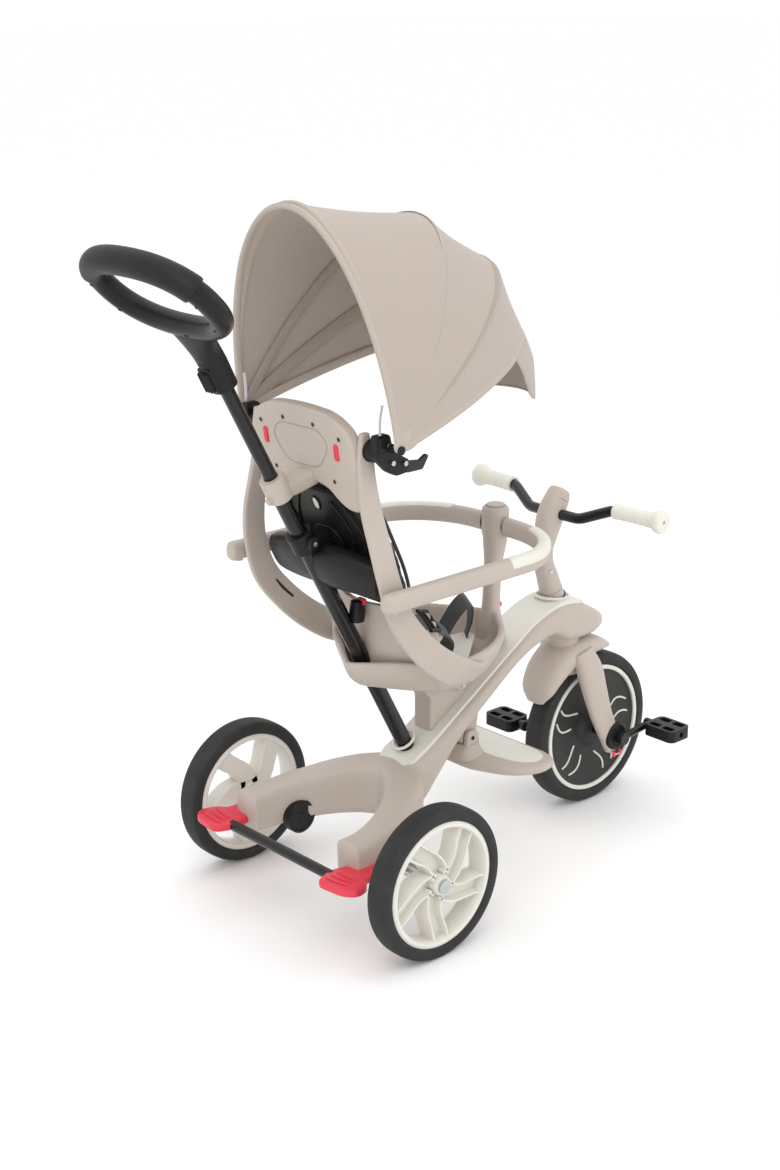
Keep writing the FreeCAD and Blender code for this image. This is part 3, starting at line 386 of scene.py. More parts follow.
def grain(tree, where, shader, size_mm, depth_mm, strength, vary=(0.0, 1.0)):
    """Bump from a fine noise, and a roughness that follows a coarser one."""
    fine = add(tree, "ShaderNodeTexNoise", {"Vector": where, "Scale": 1000 / size_mm, "Detail": 4.0})
    bump = add(tree, "ShaderNodeBump", {"Height": fine.outputs["Fac"], "Distance": depth_mm / 1000,
                                        "Strength": strength})
    tree.links.new(bump.outputs["Normal"], shader.inputs["Normal"])
    if vary[1] > vary[0]:
        slow = add(tree, "ShaderNodeTexNoise", {"Vector": where, "Scale": 14.0, "Detail": 5.0})
        span = add(tree, "ShaderNodeMapRange", {"Value": slow.outputs["Fac"], "From Min": 0.3, "From Max": 0.7,
                                                "To Min": vary[0], "To Max": vary[1]})
        tree.links.new(span.outputs["Result"], shader.inputs["Roughness"])
    return fine


def moulded(name, code, other, roughness, grain_mm=2.0, strength=0.25, **fixed):
    """Moulded plastic: slow colour drift, fine grain, and a roughness that drifts a little."""
    material, tree, shader = surface(name, code, roughness, **fixed)
    where = add(tree, "ShaderNodeTexCoord").outputs["Object"]
    tree.links.new(mottle(tree, where, code, other, 90), shader.inputs["Base Color"])
    grain(tree, where, shader, grain_mm, 0.12, strength, (roughness - 0.05, roughness + 0.06))
    return material


BEIGE = moulded("polypropylene_beige_grained", "#B9ADA3", "#BCB1A7", 0.48, IOR=1.45)
CREAM = moulded("polypropylene_cream_grained", "#E0DED6", "#DCDAD1", 0.44, IOR=1.45)
BLACK = moulded("polypropylene_black_grained", "#161615", "#1B1B1A", 0.40, IOR=1.33)
CHARCOAL = moulded("polypropylene_charcoal_matt", "#2C2B2A", "#323130", 0.5, IOR=1.36)
RED = moulded("abs_red_satin", "#DE3B4E", "#DA364A", 0.38, IOR=1.45)
SOFT = moulded("thermoplastic_elastomer_black", "#1C1C1B", "#212120", 0.5, 1.4, 0.35, IOR=1.33)
GRIP = moulded("thermoplastic_elastomer_cream", "#E3E1D6", "#DFDCD0", 0.55, 1.6, 0.3, IOR=1.5)
# BUTTON_SHADOW is near-black painted shade: it fills screw wells, slots, recesses and gaps where shade falls, and it
# also draws the dark parting lines.
BUTTON_SHADOW = moulded("recess_shadow_black", "#151414", "#191818", 0.7)
print("plastics", len(bpy.data.materials))

# %% [markdown]
# The tubes are steel with a black powder coat baked smooth, so they carry a clear long highlight
# with a faint orange peel. The bolts are zinc-plated steel, brushed by turning.

# %% Painted and plated metal
def powder_coat(name, code):
    """A dark mottled base under a thin clear coat, with a fine stipple in the roughness."""
    material, tree, shader = surface(name, code, 0.28, IOR=1.34, Coat_Weight=0.25, Coat_Roughness=0.14)
    where = add(tree, "ShaderNodeTexCoord").outputs["Object"]
    tree.links.new(mottle(tree, where, code, "#181818", 60), shader.inputs["Base Color"])
    grain(tree, where, shader, 3.0, 0.1, 0.12, (0.2, 0.3))
    return material


def plated(name, code):
    """A metal whose brightness drifts over 8 mm, with a fine grain."""
    material, tree, shader = surface(name, code, 0.3, Metallic=1.0)
    where = add(tree, "ShaderNodeTexCoord").outputs["Object"]
    tree.links.new(mottle(tree, where, code, "#B9BBBE", 8), shader.inputs["Base Color"])
    grain(tree, where, shader, 0.8, 0.05, 0.2, (0.24, 0.38))
    return material


TUBE_COAT = powder_coat("steel_powder_coat_black", "#121212")
ZINC = plated("steel_zinc_plated", "#C9CBCE")

# %% [markdown]
# The tyres are moulded EVA foam: a closed-cell rubber whose skin is dull, slightly uneven and a
# little lighter where it has rubbed on the floor.

# %% Foam tyre
def foam(name, code, other):
    """Two greys mixed over 26 mm, with small pores from a cell pattern."""
    material, tree, shader = surface(name, code, 0.66, IOR=1.33)
    where = add(tree, "ShaderNodeTexCoord").outputs["Object"]
    tree.links.new(mottle(tree, where, code, other, 26), shader.inputs["Base Color"])
    pores = add(tree, "ShaderNodeTexVoronoi", {"Vector": where, "Scale": 380.0})
    slow = add(tree, "ShaderNodeTexNoise", {"Vector": where, "Scale": 60.0, "Detail": 6.0})
    both = add(tree, "ShaderNodeMath", {0: pores.outputs["Distance"], 1: slow.outputs["Fac"]}, operation="ADD")
    bump = add(tree, "ShaderNodeBump", {"Height": both.outputs[0], "Distance": 0.0004, "Strength": 0.3})
    tree.links.new(bump.outputs["Normal"], shader.inputs["Normal"])
    return material


TYRE = foam("eva_foam_charcoal", "#2B2B2B", "#343433")

# %% [markdown]
# The canopy is a plain-weave polyester, dyed taupe and coated inside. Threads lie about 0.5 mm
# apart; they are drawn at 1.6 mm. Two waves across each other raise the weave, a slow noise adds
# the slack in the cloth, and sheen lightens it where it turns away. The pattern reads the flat
# cut of each gore, so it follows the cloth round the hoops.

# %% Woven cloth
def woven(name, code, other, thread_mm, depth, sheen):
    """Warp waves times weft waves on the flat cut, under a broad noise for the slack."""
    material, tree, shader = surface(name, code, 0.85, Sheen_Weight=sheen, Sheen_Roughness=0.5)
    cut = add(tree, "ShaderNodeTexCoord").outputs["UV"]
    warp = add(tree, "ShaderNodeTexWave", {"Vector": cut, "Scale": 1000 / thread_mm / 20 * math.pi,
                                           "Distortion": 0.6},
               bands_direction="X")
    weft = add(tree, "ShaderNodeTexWave", {"Vector": cut, "Scale": 1000 / thread_mm / 20 * math.pi,
                                           "Distortion": 0.6},
               bands_direction="Y")
    weave = add(tree, "ShaderNodeMath", {0: warp.outputs["Fac"], 1: weft.outputs["Fac"]}, operation="MULTIPLY")
    slack = add(tree, "ShaderNodeTexNoise", {"Vector": cut, "Scale": 16.0, "Detail": 3.0})
    fine = add(tree, "ShaderNodeBump", {"Height": weave.outputs[0], "Distance": depth / 1000, "Strength": 0.5})
    broad = add(tree, "ShaderNodeBump", {"Height": slack.outputs["Fac"], "Distance": 0.004, "Strength": 0.35,
                                         "Normal": fine.outputs["Normal"]})
    tree.links.new(broad.outputs["Normal"], shader.inputs["Normal"])
    tone = add(tree, "ShaderNodeMix", {"Factor": weave.outputs[0], "A": linear(code), "B": linear(other)},
               data_type="RGBA")
    tree.links.new(tone.outputs["Result"], shader.inputs["Base Color"])
    return material


CANOPY = woven("polyester_plain_weave_taupe", "#AEA299", "#B5AAA1", 1.6, 0.25, 0.12)
CANOPY_LINING = woven("polyester_coated_lining_taupe", "#B9AC9F", "#C0B3A6", 1.6, 0.25, 0.1)


def woven_solid(name, code, other, cell_mm, depth, sheen):
    """Cloth on a stuffed piece: the weave reads the object's own space, so it needs no flat cut."""
    material, tree, shader = surface(name, code, 0.82, Sheen_Weight=sheen, Sheen_Roughness=0.5)
    where = add(tree, "ShaderNodeTexCoord").outputs["Object"]
    cells = add(tree, "ShaderNodeTexVoronoi", {"Vector": where, "Scale": 1000 / cell_mm}, feature="DISTANCE_TO_EDGE")
    tone = add(tree, "ShaderNodeMapRange", {"Value": cells.outputs["Distance"], "From Min": 0.0, "From Max": 0.3})
    mix = add(tree, "ShaderNodeMix", {"Factor": tone.outputs["Result"], "A": linear(other), "B": linear(code)},
              data_type="RGBA")
    tree.links.new(mix.outputs["Result"], shader.inputs["Base Color"])
    bump = add(tree, "ShaderNodeBump", {"Height": cells.outputs["Distance"], "Distance": depth / 1000,
                                        "Strength": 0.6})
    tree.links.new(bump.outputs["Normal"], shader.inputs["Normal"])
    return material


AIR_MESH = woven_solid("polyester_spacer_mesh_black", "#161617", "#29292B", 3.0, 0.6, 0.25)
WEBBING = woven_solid("polyester_binding_black", "#19191A", "#28282A", 1.8, 0.4, 0.2)
print("materials", len(bpy.data.materials))

# %% [markdown]
# ## Fitting a piece
# Each piece takes one finish and rides on a CAD body. Where it takes the place of a plain CAD
# solid, it says which, and that solid is hidden.


def fit(piece, finish, body, *nodes):
    """Give a piece its finish and its body, and name the CAD nodes it replaces."""
    if not piece.data.materials:
        piece.data.materials.append(finish)
    if body:
        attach(piece, body)
    if nodes:
        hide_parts(*nodes)
    return piece


def finish_node(finish, *nodes):
    """Paint a CAD node that keeps its own shape."""
    for name in nodes:
        slots = bpy.data.objects[name].material_slots
        for item in slots:
            item.material = finish
        if not slots:
            bpy.data.objects[name].data.materials.append(finish)


finish_node(TUBE_COAT, "lower_push_tube", "upper_push_tube", "handlebar", "brake_bar")
finish_node(ZINC, "rear_axle_bolts")
finish_node(BLACK, "head_bearings")
print("CAD nodes painted")

# %% [markdown]
# ## Rear wheels
# A cream rim moulded in one piece with five swept spokes, each a channel with two raised walls,
# inside a smooth foam tyre. The tyre is a turning whose profile closes on itself. A spoke carries
# a U-shaped section along an arc in the wheel's plane, and the five are copies turned by 72
# degrees, worked out together with one rotation matrix per spoke.

# %% Wheel helpers
def tyre(name, centre, radius, inner, width, body, *nodes):
    """The section is a squarish oval: superellipse of power 3 between the rim and the tread."""
    section = ring_of(64, 3.4)
    middle = (radius + inner) / 2
    profile = np.column_stack([middle + section[:, 0] * (radius - inner) / 2, section[:, 1] * width / 2])
    waist = 0.9 * np.exp(-((profile[:, 0] - radius + 5) / 2.0) ** 2)
    profile[:, 1] -= np.sign(profile[:, 1]) * waist
    return fit(turning(name, profile, centre, Y, 160, loop=True), TYRE, body, *nodes)


def spoke_grid(out, start, end, sweep, widths, depth, web):
    """A U-shaped section carried from the hub to the rim: radius grows evenly while the angle
    swings by sweep degrees, so the spoke is an arc. out is +1 or -1, the open side's y."""
    t = np.linspace(0, 1, 24)
    radius = start + (end - start) * t
    angle = np.radians(sweep) * np.sin(t * np.pi / 2) ** 1.3
    line = np.column_stack([radius * np.cos(angle), radius * np.sin(angle)])
    tangent = unit(np.gradient(line, axis=0))
    across = np.column_stack([-tangent[:, 1], tangent[:, 0]])
    half = np.interp(t, [0, 0.55, 1], widths)
    u = np.array([-1, -0.5, 0.5, 1, 1, 0.93, 0.76, 0.66, -0.66, -0.76, -0.93, -1.0])
    v = np.array([-1, -1, -1, -1, 0.7, 1, 1, web, web, 1, 1, 0.7])
    flat = line[:, None] + across[:, None] * (half[:, None] * u)[..., None]
    return np.dstack([flat[..., 0], np.broadcast_to(out * v * depth, flat.shape[:2]), flat[..., 1]])


def rear_rim(name, centre, out, body, *nodes):
    """Hoop, hub and five spokes, each at its place on the axle, joined as one moulding."""
    hoop = [(81.2, -15), (81.2, 15), (78.6, 16.2), (75.6, 15.6), (74.6, 12.5), (73.6, 0), (74.6, -12.5),
            (75.6, -15.6), (78.6, -16.2)]
    section = closed_through(hoop, 40)
    pieces = [fit(turning(name, section, centre, Y, 160, loop=True), CREAM, None)]
    hub = [(5.2, -17), (12, -17), (13, -15), (13, 12), (12.2, 15.4), (9.4, 16.2), (8.8, 14.6), (5.2, 14.4)]
    pieces.append(fit(turning(name + "_hub", hub, centre, Y, 60), CREAM, None))
    base = spoke_grid(out, 10, 75.5, 34, [14.5, 11.6, 13.6], 12.5, 0.1)
    for k in range(5):
        a = np.radians(72 * k + 20)
        turn = np.array([[np.cos(a), 0, -np.sin(a)], [0, 1, 0], [np.sin(a), 0, np.cos(a)]])
        pieces.append(fit(solid(f"{name}_spoke_{k}", base @ turn.T + centre, crease=28), CREAM, None))
    return fit(join(name, pieces), CREAM, body, *nodes)


for side, y in SIDES.items():
    axle = joint_mm(f"rear_wheel_{side}_spin")
    body = f"rear_wheel_{side}"
    tyre(f"rear_tyre_foam_{side}", axle, 100, 80.6, 33.5, body, f"rear_tyre_{side}")
    rear_rim(f"rear_rim_moulding_{side}", axle, y, body, f"rear_rim_{side}")
print("rear wheels")

# %% [markdown]
# ## Front wheel
# A closed charcoal disc, dished towards the hub, with a cream ring at its edge and five pairs of
# short curved cream lines on each face. The lines are thin half-round ribs that sit on the disc.

# %% Disc, ring, ribs and tyre
def disc_face(radius):
    """Half thickness of the disc at a radius: a shallow dish between the rim and the hub."""
    return np.interp(radius, [0, 22, 30, 60, 84, 88, 94], [19.6, 19.6, 11, 9.5, 11.5, 13.6, 13.6])


def front_disc():
    """A closed profile: the half thickness on one side, then the same on the other, spun round the axle."""
    radius = np.concatenate([[7.2], np.linspace(14, 94, 40), [94.6]])
    half = disc_face(radius)
    profile = np.concatenate([np.column_stack([radius, -half]), np.column_stack([radius, half])[::-1]])
    return fit(turning("front_disc_moulding", profile, FRONT_AXLE, Y, 160, loop=True), CHARCOAL, "front_wheel",
               "front_disc")


def front_ring():
    """A rounded box section spun round the axle on each face."""
    rings = []
    for side in SIDES.values():
        section = ring_of(24, 3) * [3.2, 2.6] + [91.6, side * 14.4]
        rings.append(fit(turning("front_ring", section, FRONT_AXLE, Y, 160, loop=True), CREAM, None))
    return fit(join("front_ring_pair", rings), CREAM, "front_wheel", "front_trim")


def rib_line(side, start, end, angle, swing):
    """A rib's line: radius grows evenly while its angle swings, and its foot lies on the disc."""
    t = np.linspace(0, 1, 9)
    radius = start + (end - start) * t
    a = np.radians(angle + swing * (t - 0.5) + 7 * np.sin(np.pi * t))
    return FRONT_AXLE + np.column_stack([radius * np.cos(a), side * (disc_face(radius) + 0.2), radius * np.sin(a)])


ribs = []
for side in SIDES.values():
    for k in range(5):
        for offset, swing, inner in ((-12, 10, 42), (12, -8, 45)):
            line = rib_line(side, inner, 78, 72 * k + 10 + offset, swing)
            ribs.append(fit(pipe("front_rib", line, 1.5, Y, 16, 10, 1.2), CREAM, None))
fit(join("front_disc_ribs", ribs), CREAM, "front_wheel")
front_disc()
front_ring()
tyre("front_tyre_foam", FRONT_AXLE, 113.4, 93.6, 35.5, "front_wheel", "front_tyre")
print("front wheel")

# %% [markdown]
# ## Frame shells
# The spine is a box section whose top and underside follow two smooth side lines, so each cross
# section stands upright at its own x. The rear legs are one U-shaped limb with a rounded box
# section that runs from tip to tip round the gap.

# %% Spine
SPINE_TOP = [(88, 163), (118, 176), (146, 190), (209, 228), (313, 292), (345, 311), (375, 322.5), (404, 327.5),
             (432, 324), (462, 310), (490, 292), (500, 282)]
SPINE_UNDER = [(88, 106), (128, 108), (152, 133), (188, 174), (250, 224), (346, 279), (385, 284), (410, 270),
               (450, 266), (480, 268), (500, 276)]


def spine():
    """At each x the section is a superellipse between the two lines; the nose draws in sideways."""
    x = np.concatenate([np.linspace(88, 470, 110), 470 + 31 * np.sin(np.linspace(0.05, np.pi / 2, 22))])
    top = height_at(x, SPINE_TOP)
    under = height_at(x, SPINE_UNDER)
    half = np.interp(x, [88, 110, 140, 400, 440, 470, 490, 499, 501], [30, 35, 36, 36, 35, 31, 23, 12, 3])
    section = ring_of(64, 4.2)
    grid = np.dstack([np.broadcast_to(x[:, None], (len(x), 64)), half[:, None] * section[:, 0],
                      ((top + under) / 2)[:, None] + ((top - under) / 2)[:, None] * section[:, 1]])
    return fit(solid("spine_moulding", grid), BEIGE, "frame", "spine_shell")


def neck():
    """The head tube below the spine: it flares where it meets the shell."""
    profile = [(1, 134.3), (20.5, 134.3), (21.6, 136), (21.8, 150), (22.4, 166), (25, 180), (30, 192), (1, 196)]
    return fit(turning("spine_neck", profile, FRONT_AXLE, STEER, 72), BEIGE, "frame")


spine()
neck()
print("spine")

# %% Rear legs
LEG = [(-63, 101, 116, 20.5, 26.5), (-40, 101, 116.5, 20.5, 27), (-6, 95, 119, 21, 29), (30, 81, 123, 22.5, 31),
       (64, 60, 128, 25, 34), (92, 32, 132, 27, 37), (104, 0, 135, 28, 39)]
line = np.array(LEG)
other = line[::-1] * [1, -1, 1, 1, 1]
fit(limb("rear_legs_moulding", np.concatenate([line, other[1:]]), Z, 5.0, 120, 64, (3, 3)), BEIGE, "frame",
    "rear_frame")
for side, y in SIDES.items():
    cup = [(1, -9), (21, -9), (22.5, -7), (22.5, 6), (20, 8), (17, 5.5), (6, 5), (4, 7), (1, 7)]
    fit(turning(f"axle_cap_{side}", cup, np.array([0, y * 71, 100.0]), -y * Y, 60), BLACK, "frame",
        *(["axle_caps"] if y > 0 else []))
print("rear legs")

# %% [markdown]
# The spine's top carries a cream cover: a strip that follows the top line, rounds off behind the
# tube's foot and comes to a soft point in front of the stem.

# %% Cream cover
def cover():
    """x runs along the strip and v across it: y is the half width times v, and z is the top line
    plus a low crown. The half width closes in as a half circle at the tail and at the nose."""
    x = np.linspace(91, 461, 150)
    half = 29.5 * np.sqrt(np.clip(1 - (np.clip(120 - x, 0, 29.2) / 29.6) ** 2, 0, 1))
    half = np.minimum(half, 30 * np.sqrt(np.clip(1 - (np.clip(x - 425, 0, 36.4) / 37) ** 2, 0, 1)))
    v = np.linspace(-1, 1, 25)
    z = height_at(x, SPINE_TOP)[:, None] + 4.4 - 1.6 * v**2 * np.ones((len(x), 1))
    grid = np.dstack([np.broadcast_to(x[:, None], z.shape), half[:, None] * v, z])
    flat = grid[..., :2] / 1000
    return fit(cloth("spine_cover", grid, 6.0, flat, 40), CREAM, "frame", "top_cover")


cover()
ring = ring_of(72)
across_tube = np.array([np.cos(np.radians(31)), 0, np.sin(np.radians(31))])
foot = TUBE_FOOT + TUBE * 39
collar_ring = foot + across_tube * (ring[:, :1] * 15.5) + Y * (ring[:, 1:] * 13.2) + Z * 1.2
fit(pipe("tube_foot_ring", np.concatenate([collar_ring, collar_ring[:1]]), 2.0, Z, 90, 12, loop=True), CREAM, "frame")
stem_foot = on_steering(231.5)
oval = stem_foot + np.array([np.cos(0.1), 0, -np.sin(0.1)]) * (ring[:, :1] * 25) + Y * (ring[:, 1:] * 22)
fit(pipe("stem_foot_ring", np.concatenate([oval, oval[:1]]), 2.2, Z, 90, 12, loop=True), CREAM, "frame")
print("cover")

# %% [markdown]
# ## Push handle
# The oval ring is a superellipse of power 2.35. Its lower part is hard plastic that widens into
# the stem, and its upper part wears a thicker soft sleeve. Parting lines and screw pockets show.

# %% Handle
HANDLE_CENTRE = np.array([-241.6, 0, 833.4])
HANDLE_ALONG = np.array([-0.7071, 0, 0.7071])
HANDLE_FACE = np.array([0.7071, 0, 0.7071])
TUBE_SIDE = np.array([0.884, 0, 0.467])
# SEAM is a darker beige. On parting lines it is the dark joint; on the backrest's groove and round its screw wells it
# is painted shade of the recess.
SEAM = moulded("polypropylene_seam_and_groove_shade_taupe", "#9B8E82", "#A09388", 0.6)


def handle_line(low, high, count):
    """Foot at angle 0: centre - along * 56.6 cos + Y * 98.7 sin, each power 2/2.35."""
    a = np.linspace(low, high, count) * np.pi
    c = np.sign(np.cos(a)) * np.abs(np.cos(a)) ** 0.851
    s = np.sign(np.sin(a)) * np.abs(np.sin(a)) ** 0.851
    return HANDLE_CENTRE - HANDLE_ALONG * (56.6 * c)[:, None] + Y * (98.7 * s)[:, None]


def with_size(points, wide, tall):
    """Put two columns of half sizes beside a line's points."""
    points = np.asarray(points, float)
    return np.column_stack([points, np.broadcast_to(wide, len(points)), np.broadcast_to(tall, len(points))])


ring = with_size(handle_line(-0.63, 0.63, 60), 13.4, 13.4)
stem_line = with_size([on_tube(630.5), on_tube(646), on_tube(662), (-177, 0, 761), (-187, 0, 775), (-197, 0, 788),
                       (-204, 0, 796)], [15.6, 15.8, 16.4, 19.5, 27, 38, 46], [15.6, 15.8, 16.2, 15.6, 14.6, 12.6, 9])
handle = [fit(limb("handle_bar", ring, HANDLE_FACE, 2.0, 120, 40), BLACK, None),
          fit(limb("handle_stem", stem_line, X, 2.2, 70, 48, (1, 4)), BLACK, None)]
sleeve = with_size(handle_line(0.615, 1.385, 60), 16.2, 16.2)
sleeve[[0, -1], 3:] = 15.4
fit(limb("handle_soft_sleeve", sleeve, HANDLE_FACE, 2.1, 120, 44, (1.4, 1.4)), SOFT, "push_handle", "handle_sleeve")
for y in SIDES.values():
    line = handle_line(0.6 * y, 0.16 * y, 14)
    out = unit(line - HANDLE_CENTRE)
    seam = np.concatenate([line + out * 13.3 + HANDLE_FACE * 2, [(-184, y * 25, 774), on_tube(664) + Y * y * 16.2,
                                                                 on_tube(632) + Y * y * 15.6]])
    handle.append(fit(pipe("handle_seam", seam, 0.5, HANDLE_FACE, 60, 8), BUTTON_SHADOW, None))
# The slots are short near-black pipes: painted shade in the screw pockets.
for at in (-0.34, -0.03, 0.34, 0.56, -0.56):
    spot = handle_line(at, at + 0.012, 2) - HANDLE_FACE * 12.9
    handle.append(fit(pipe("handle_slot", spot + [[0, 0, 0], [0, 2, 0]], 1.5, HANDLE_FACE, 4, 10, 0.8),
                      BUTTON_SHADOW, None))
spot = on_tube(672) - TUBE_SIDE * 15.4
handle.append(fit(pipe("handle_slot", [spot - Y * 3, spot + Y * 3], 1.7, Z, 4, 10, 0.8), BUTTON_SHADOW, None))


def box_outline(wide, tall, corner):
    """A rectangle about the origin with round corners."""
    return rounded([(-wide / 2, -tall / 2), (wide / 2, -tall / 2), (wide / 2, tall / 2), (-wide / 2, tall / 2)],
                   corner)


housing = box_outline(23, 33, 4)
handle.append(fit(slab("handle_housing", housing, 9, (on_tube(650) - TUBE_SIDE * 13, Y, TUBE, -TUBE_SIDE), 8), BLACK,
                  None))
fit(join("handle_moulding", handle), BLACK, "push_handle", "handle_ring")
key = [fit(slab("key", box_outline(16.6, 26.6, 2.5), 9, (on_tube(650) - TUBE_SIDE * 17.2, Y, TUBE, -TUBE_SIDE), 8),
           BLACK, None)]
for y in (-5, 0, 5):
    key.append(fit(pipe("rib", [on_tube(638) - TUBE_SIDE * 21.6 + Y * y, on_tube(662) - TUBE_SIDE * 21.6 + Y * y],
                        1.2, X, 8, 10, 1), BLACK, None))
fit(join("handle_key", key), BLACK, "handle_button", "handle_button")
print("handle")

# %% [markdown]
# ## Backrest
# A thick rounded shell with an arch cut in its lower edge, a shallow outlined panel, screw holes
# and two red release buttons, set in a plane that leans back by 8.6 degrees.

# %% Headrest shell
HEAD = np.array([-27.0, 0, 592])
HEAD_UP = np.array([-0.1495, 0, 0.9888])
HEAD_OUT = np.array([0.9888, 0, 0.1495])


def on_head(y, up, out):
    """A point of the headrest: y across, up along its slope and out from its face."""
    return HEAD + Y * y + HEAD_UP * up + HEAD_OUT * out


shell = rounded([(-95, -34), (-95, 62), (-60, 84), (0, 88), (60, 84), (95, 62), (95, -34), (70, -34), (44, -12),
                 (0, -4), (-44, -12), (-70, -34)], [10, 26, 60, 90, 60, 26, 10, 12, 30, 60, 30, 12])
head = [fit(slab("backrest_moulding", shell, 18, (on_head(0, 0, 1), Y, HEAD_UP, HEAD_OUT), 9), BEIGE, None)]
for y, up in ((72.7, 57), (28, 68), (54.7, 0)):
    for side in (-1, 1):
        # Each screw well is a near-black disc of painted shade inside the hole, and the darker beige ring round it is
        # painted shade on the hole's rim.
        head.append(fit(pipe("screw_well", [on_head(side * y, up, -8.3), on_head(side * y, up, -7)], 2.5, Z, 3, 18),
                        BUTTON_SHADOW, None))
        head.append(fit(pipe("screw_rim", with_ring(on_head(side * y, up, -8.1), Y, HEAD_UP, 2.9, 24), 0.5, HEAD_OUT,
                             40, 8,
                             loop=True), SEAM, None))
# The groove is a thin bead of darker beige: the darker colour is painted shade in the groove.
groove = rounded([(-52, 44), (-38, 62), (38, 62), (52, 44), (30, 12), (-30, 12)], 16)
line = on_head(0, 0, -8.1) + groove[:, :1] * Y + groove[:, 1:] * HEAD_UP
head.append(fit(pipe("backrest_groove", np.concatenate([line, line[:1]]), 0.55, HEAD_OUT, 160, 8, loop=True), SEAM,
                None))
fit(join("backrest_moulding", head), BEIGE, "frame", "backrest_shell")
for side, y in SIDES.items():
    pill = slab(f"backrest_red_key_{side}", box_outline(7.6, 21.6, 3.7), 7.2,
                (on_head(y * 65.7, 39, -7.2), Y, HEAD_UP, HEAD_OUT), 3.5)
    fit(pill, RED, f"backrest_button_{side}", f"backrest_button_{side}")
print("backrest")

# %% [markdown]
# ## Back panel and cushion
# The black panel leans back by 22 degrees behind a mesh cushion. The cushion starts as a slightly
# smaller slab, is remeshed evenly and blown up by a cloth simulation with no gravity, each point
# limited in how far it may go, and then gets its binding.

# %% Panel
PANEL = np.array([44.0, 0, 412])
PANEL_UP = np.array([-0.3746, 0, 0.9272])
PANEL_OUT = np.array([0.9272, 0, 0.3746])


def on_panel(y, up, out):
    """A point of the rear panel: y across, up along its slope and out from its face."""
    return PANEL + Y * y + PANEL_UP * up + PANEL_OUT * out


def dish(local):
    """The panel's edges come forward: w rises with the square of the distance from the middle."""
    local[..., 2] += 7 * (local[..., 0] / 84) ** 2 - 3
    return local


plate = rounded([(-80, 30), (-94, 70), (-88, 140), (-60, 172), (60, 172), (88, 140), (94, 70), (80, 30)], 30)
panel = [fit(slab("panel", plate, 6, (PANEL, Y, PANEL_UP, PANEL_OUT), 10, dish), BLACK, None)]
lip = [(-8, -92, 466, 15, 25), (-16, -70, 470, 16, 27), (-22, -40, 473, 17, 29), (-24, 0, 474, 17, 29)]
lip = np.array(lip + [(x, -y, z, a, b) for x, y, z, a, b in lip[-2::-1]])
lip[:, 0] += 10
panel.append(fit(limb("panel_lip", lip, PANEL_UP, 2.6, 70, 44, (6, 6)), BLACK, None))
for y, up in ((-0.1, 152),):
    panel.append(fit(slab("panel_eye", box_outline(10, 17, 4.9), 3, (on_panel(y, up, -5.6), Y, PANEL_UP, PANEL_OUT),
                          6),
                     CREAM, None))
    panel.append(fit(pipe("panel_eye_rim", with_ring(on_panel(y, up, -6.5), Y * 0.75, PANEL_UP * 1.15, 8.2, 30), 1.3,
                          PANEL_OUT, 50, 10, loop=True), BLACK, None))
arch = rounded([(-26, 84), (-26, 104), (-14, 118), (14, 118), (26, 104), (26, 84)], [3, 12, 14, 14, 12, 3])
line = on_panel(0, 0, -6.6) + arch[:, :1] * Y + arch[:, 1:] * PANEL_UP
panel.append(fit(pipe("panel_recess_rim", np.concatenate([line, line[:1]]), 1.6, PANEL_OUT, 120, 10, loop=True),
                 BLACK, None))
# The recess inside the arch is filled by a thin near-black slab of painted shade.
panel.append(fit(slab("panel_recess", arch, 2, (on_panel(0, 0, -6.4), Y, PANEL_UP, PANEL_OUT), 8), BUTTON_SHADOW,
                 None))
for side in (-1, 1):
    for y0, y1, y2 in ((30, 48, 44), (52, 70, 62)):
        rib = [on_panel(side * y0, 160, -6), on_panel(side * y1, 120, -4.6), on_panel(side * y2, 84, -4.6)]
        panel.append(fit(pipe("panel_rib", rib, 1.5, PANEL_OUT, 30, 10, 1), BLACK, None))
fit(join("panel_moulding", panel), BLACK, "frame", "rear_panel")
knob = [(36.5, -10, 388, 8.5, 8.5), (36.8, -10, 398, 9.5, 9.5), (38, -10, 412, 8.6, 8.6)]
fit(limb("panel_knob", knob, X, 2.6, 20, 30, (4, 3)), BLACK, "frame")
fit(slab("panel_red_key", box_outline(15, 9, 3.5), 6, (np.array([41, -14, 413]), Y, Z, -X), 4), RED, "frame")


# %% Cushion
def remeshed(piece, size_mm):
    """Voxel remesh at an even size."""
    step = piece.modifiers.new("even", "REMESH")
    step.mode = "VOXEL"
    step.voxel_size = size_mm / 1000
    with bpy.context.temp_override(object=piece, active_object=piece):
        bpy.ops.object.modifier_apply(modifier="even")
    return piece


def inflate(piece, pressure, cap_mm, frames=20):
    """Blow the mesh up as cloth with no gravity, then move each point by what the cloth moved,
    but never by more than the cap."""
    mesh = piece.data
    before = np.zeros(len(mesh.vertices) * 3)
    mesh.vertices.foreach_get("co", before)
    before = before.reshape(-1, 3)
    soft = piece.modifiers.new("air", "CLOTH")
    soft.settings.quality = 4
    soft.settings.mass = 0.2
    soft.settings.use_pressure = True
    soft.settings.uniform_pressure_force = pressure
    soft.settings.effector_weights.gravity = 0
    soft.point_cache.frame_end = frames
    for frame_number in range(1, frames + 1):
        bpy.context.scene.frame_set(frame_number)
    held = piece.evaluated_get(bpy.context.evaluated_depsgraph_get())
    after = np.zeros_like(before).reshape(-1)
    held.data.vertices.foreach_get("co", after)
    piece.modifiers.remove(soft)
    bpy.context.scene.frame_set(1)
    move = after.reshape(-1, 3) - before
    size = np.linalg.norm(move, axis=1, keepdims=True) + 1e-9
    before = before + move * np.minimum(1, cap_mm / 1000 / size)
    mesh.vertices.foreach_set("co", before.reshape(-1))
    mesh.update()
    return piece


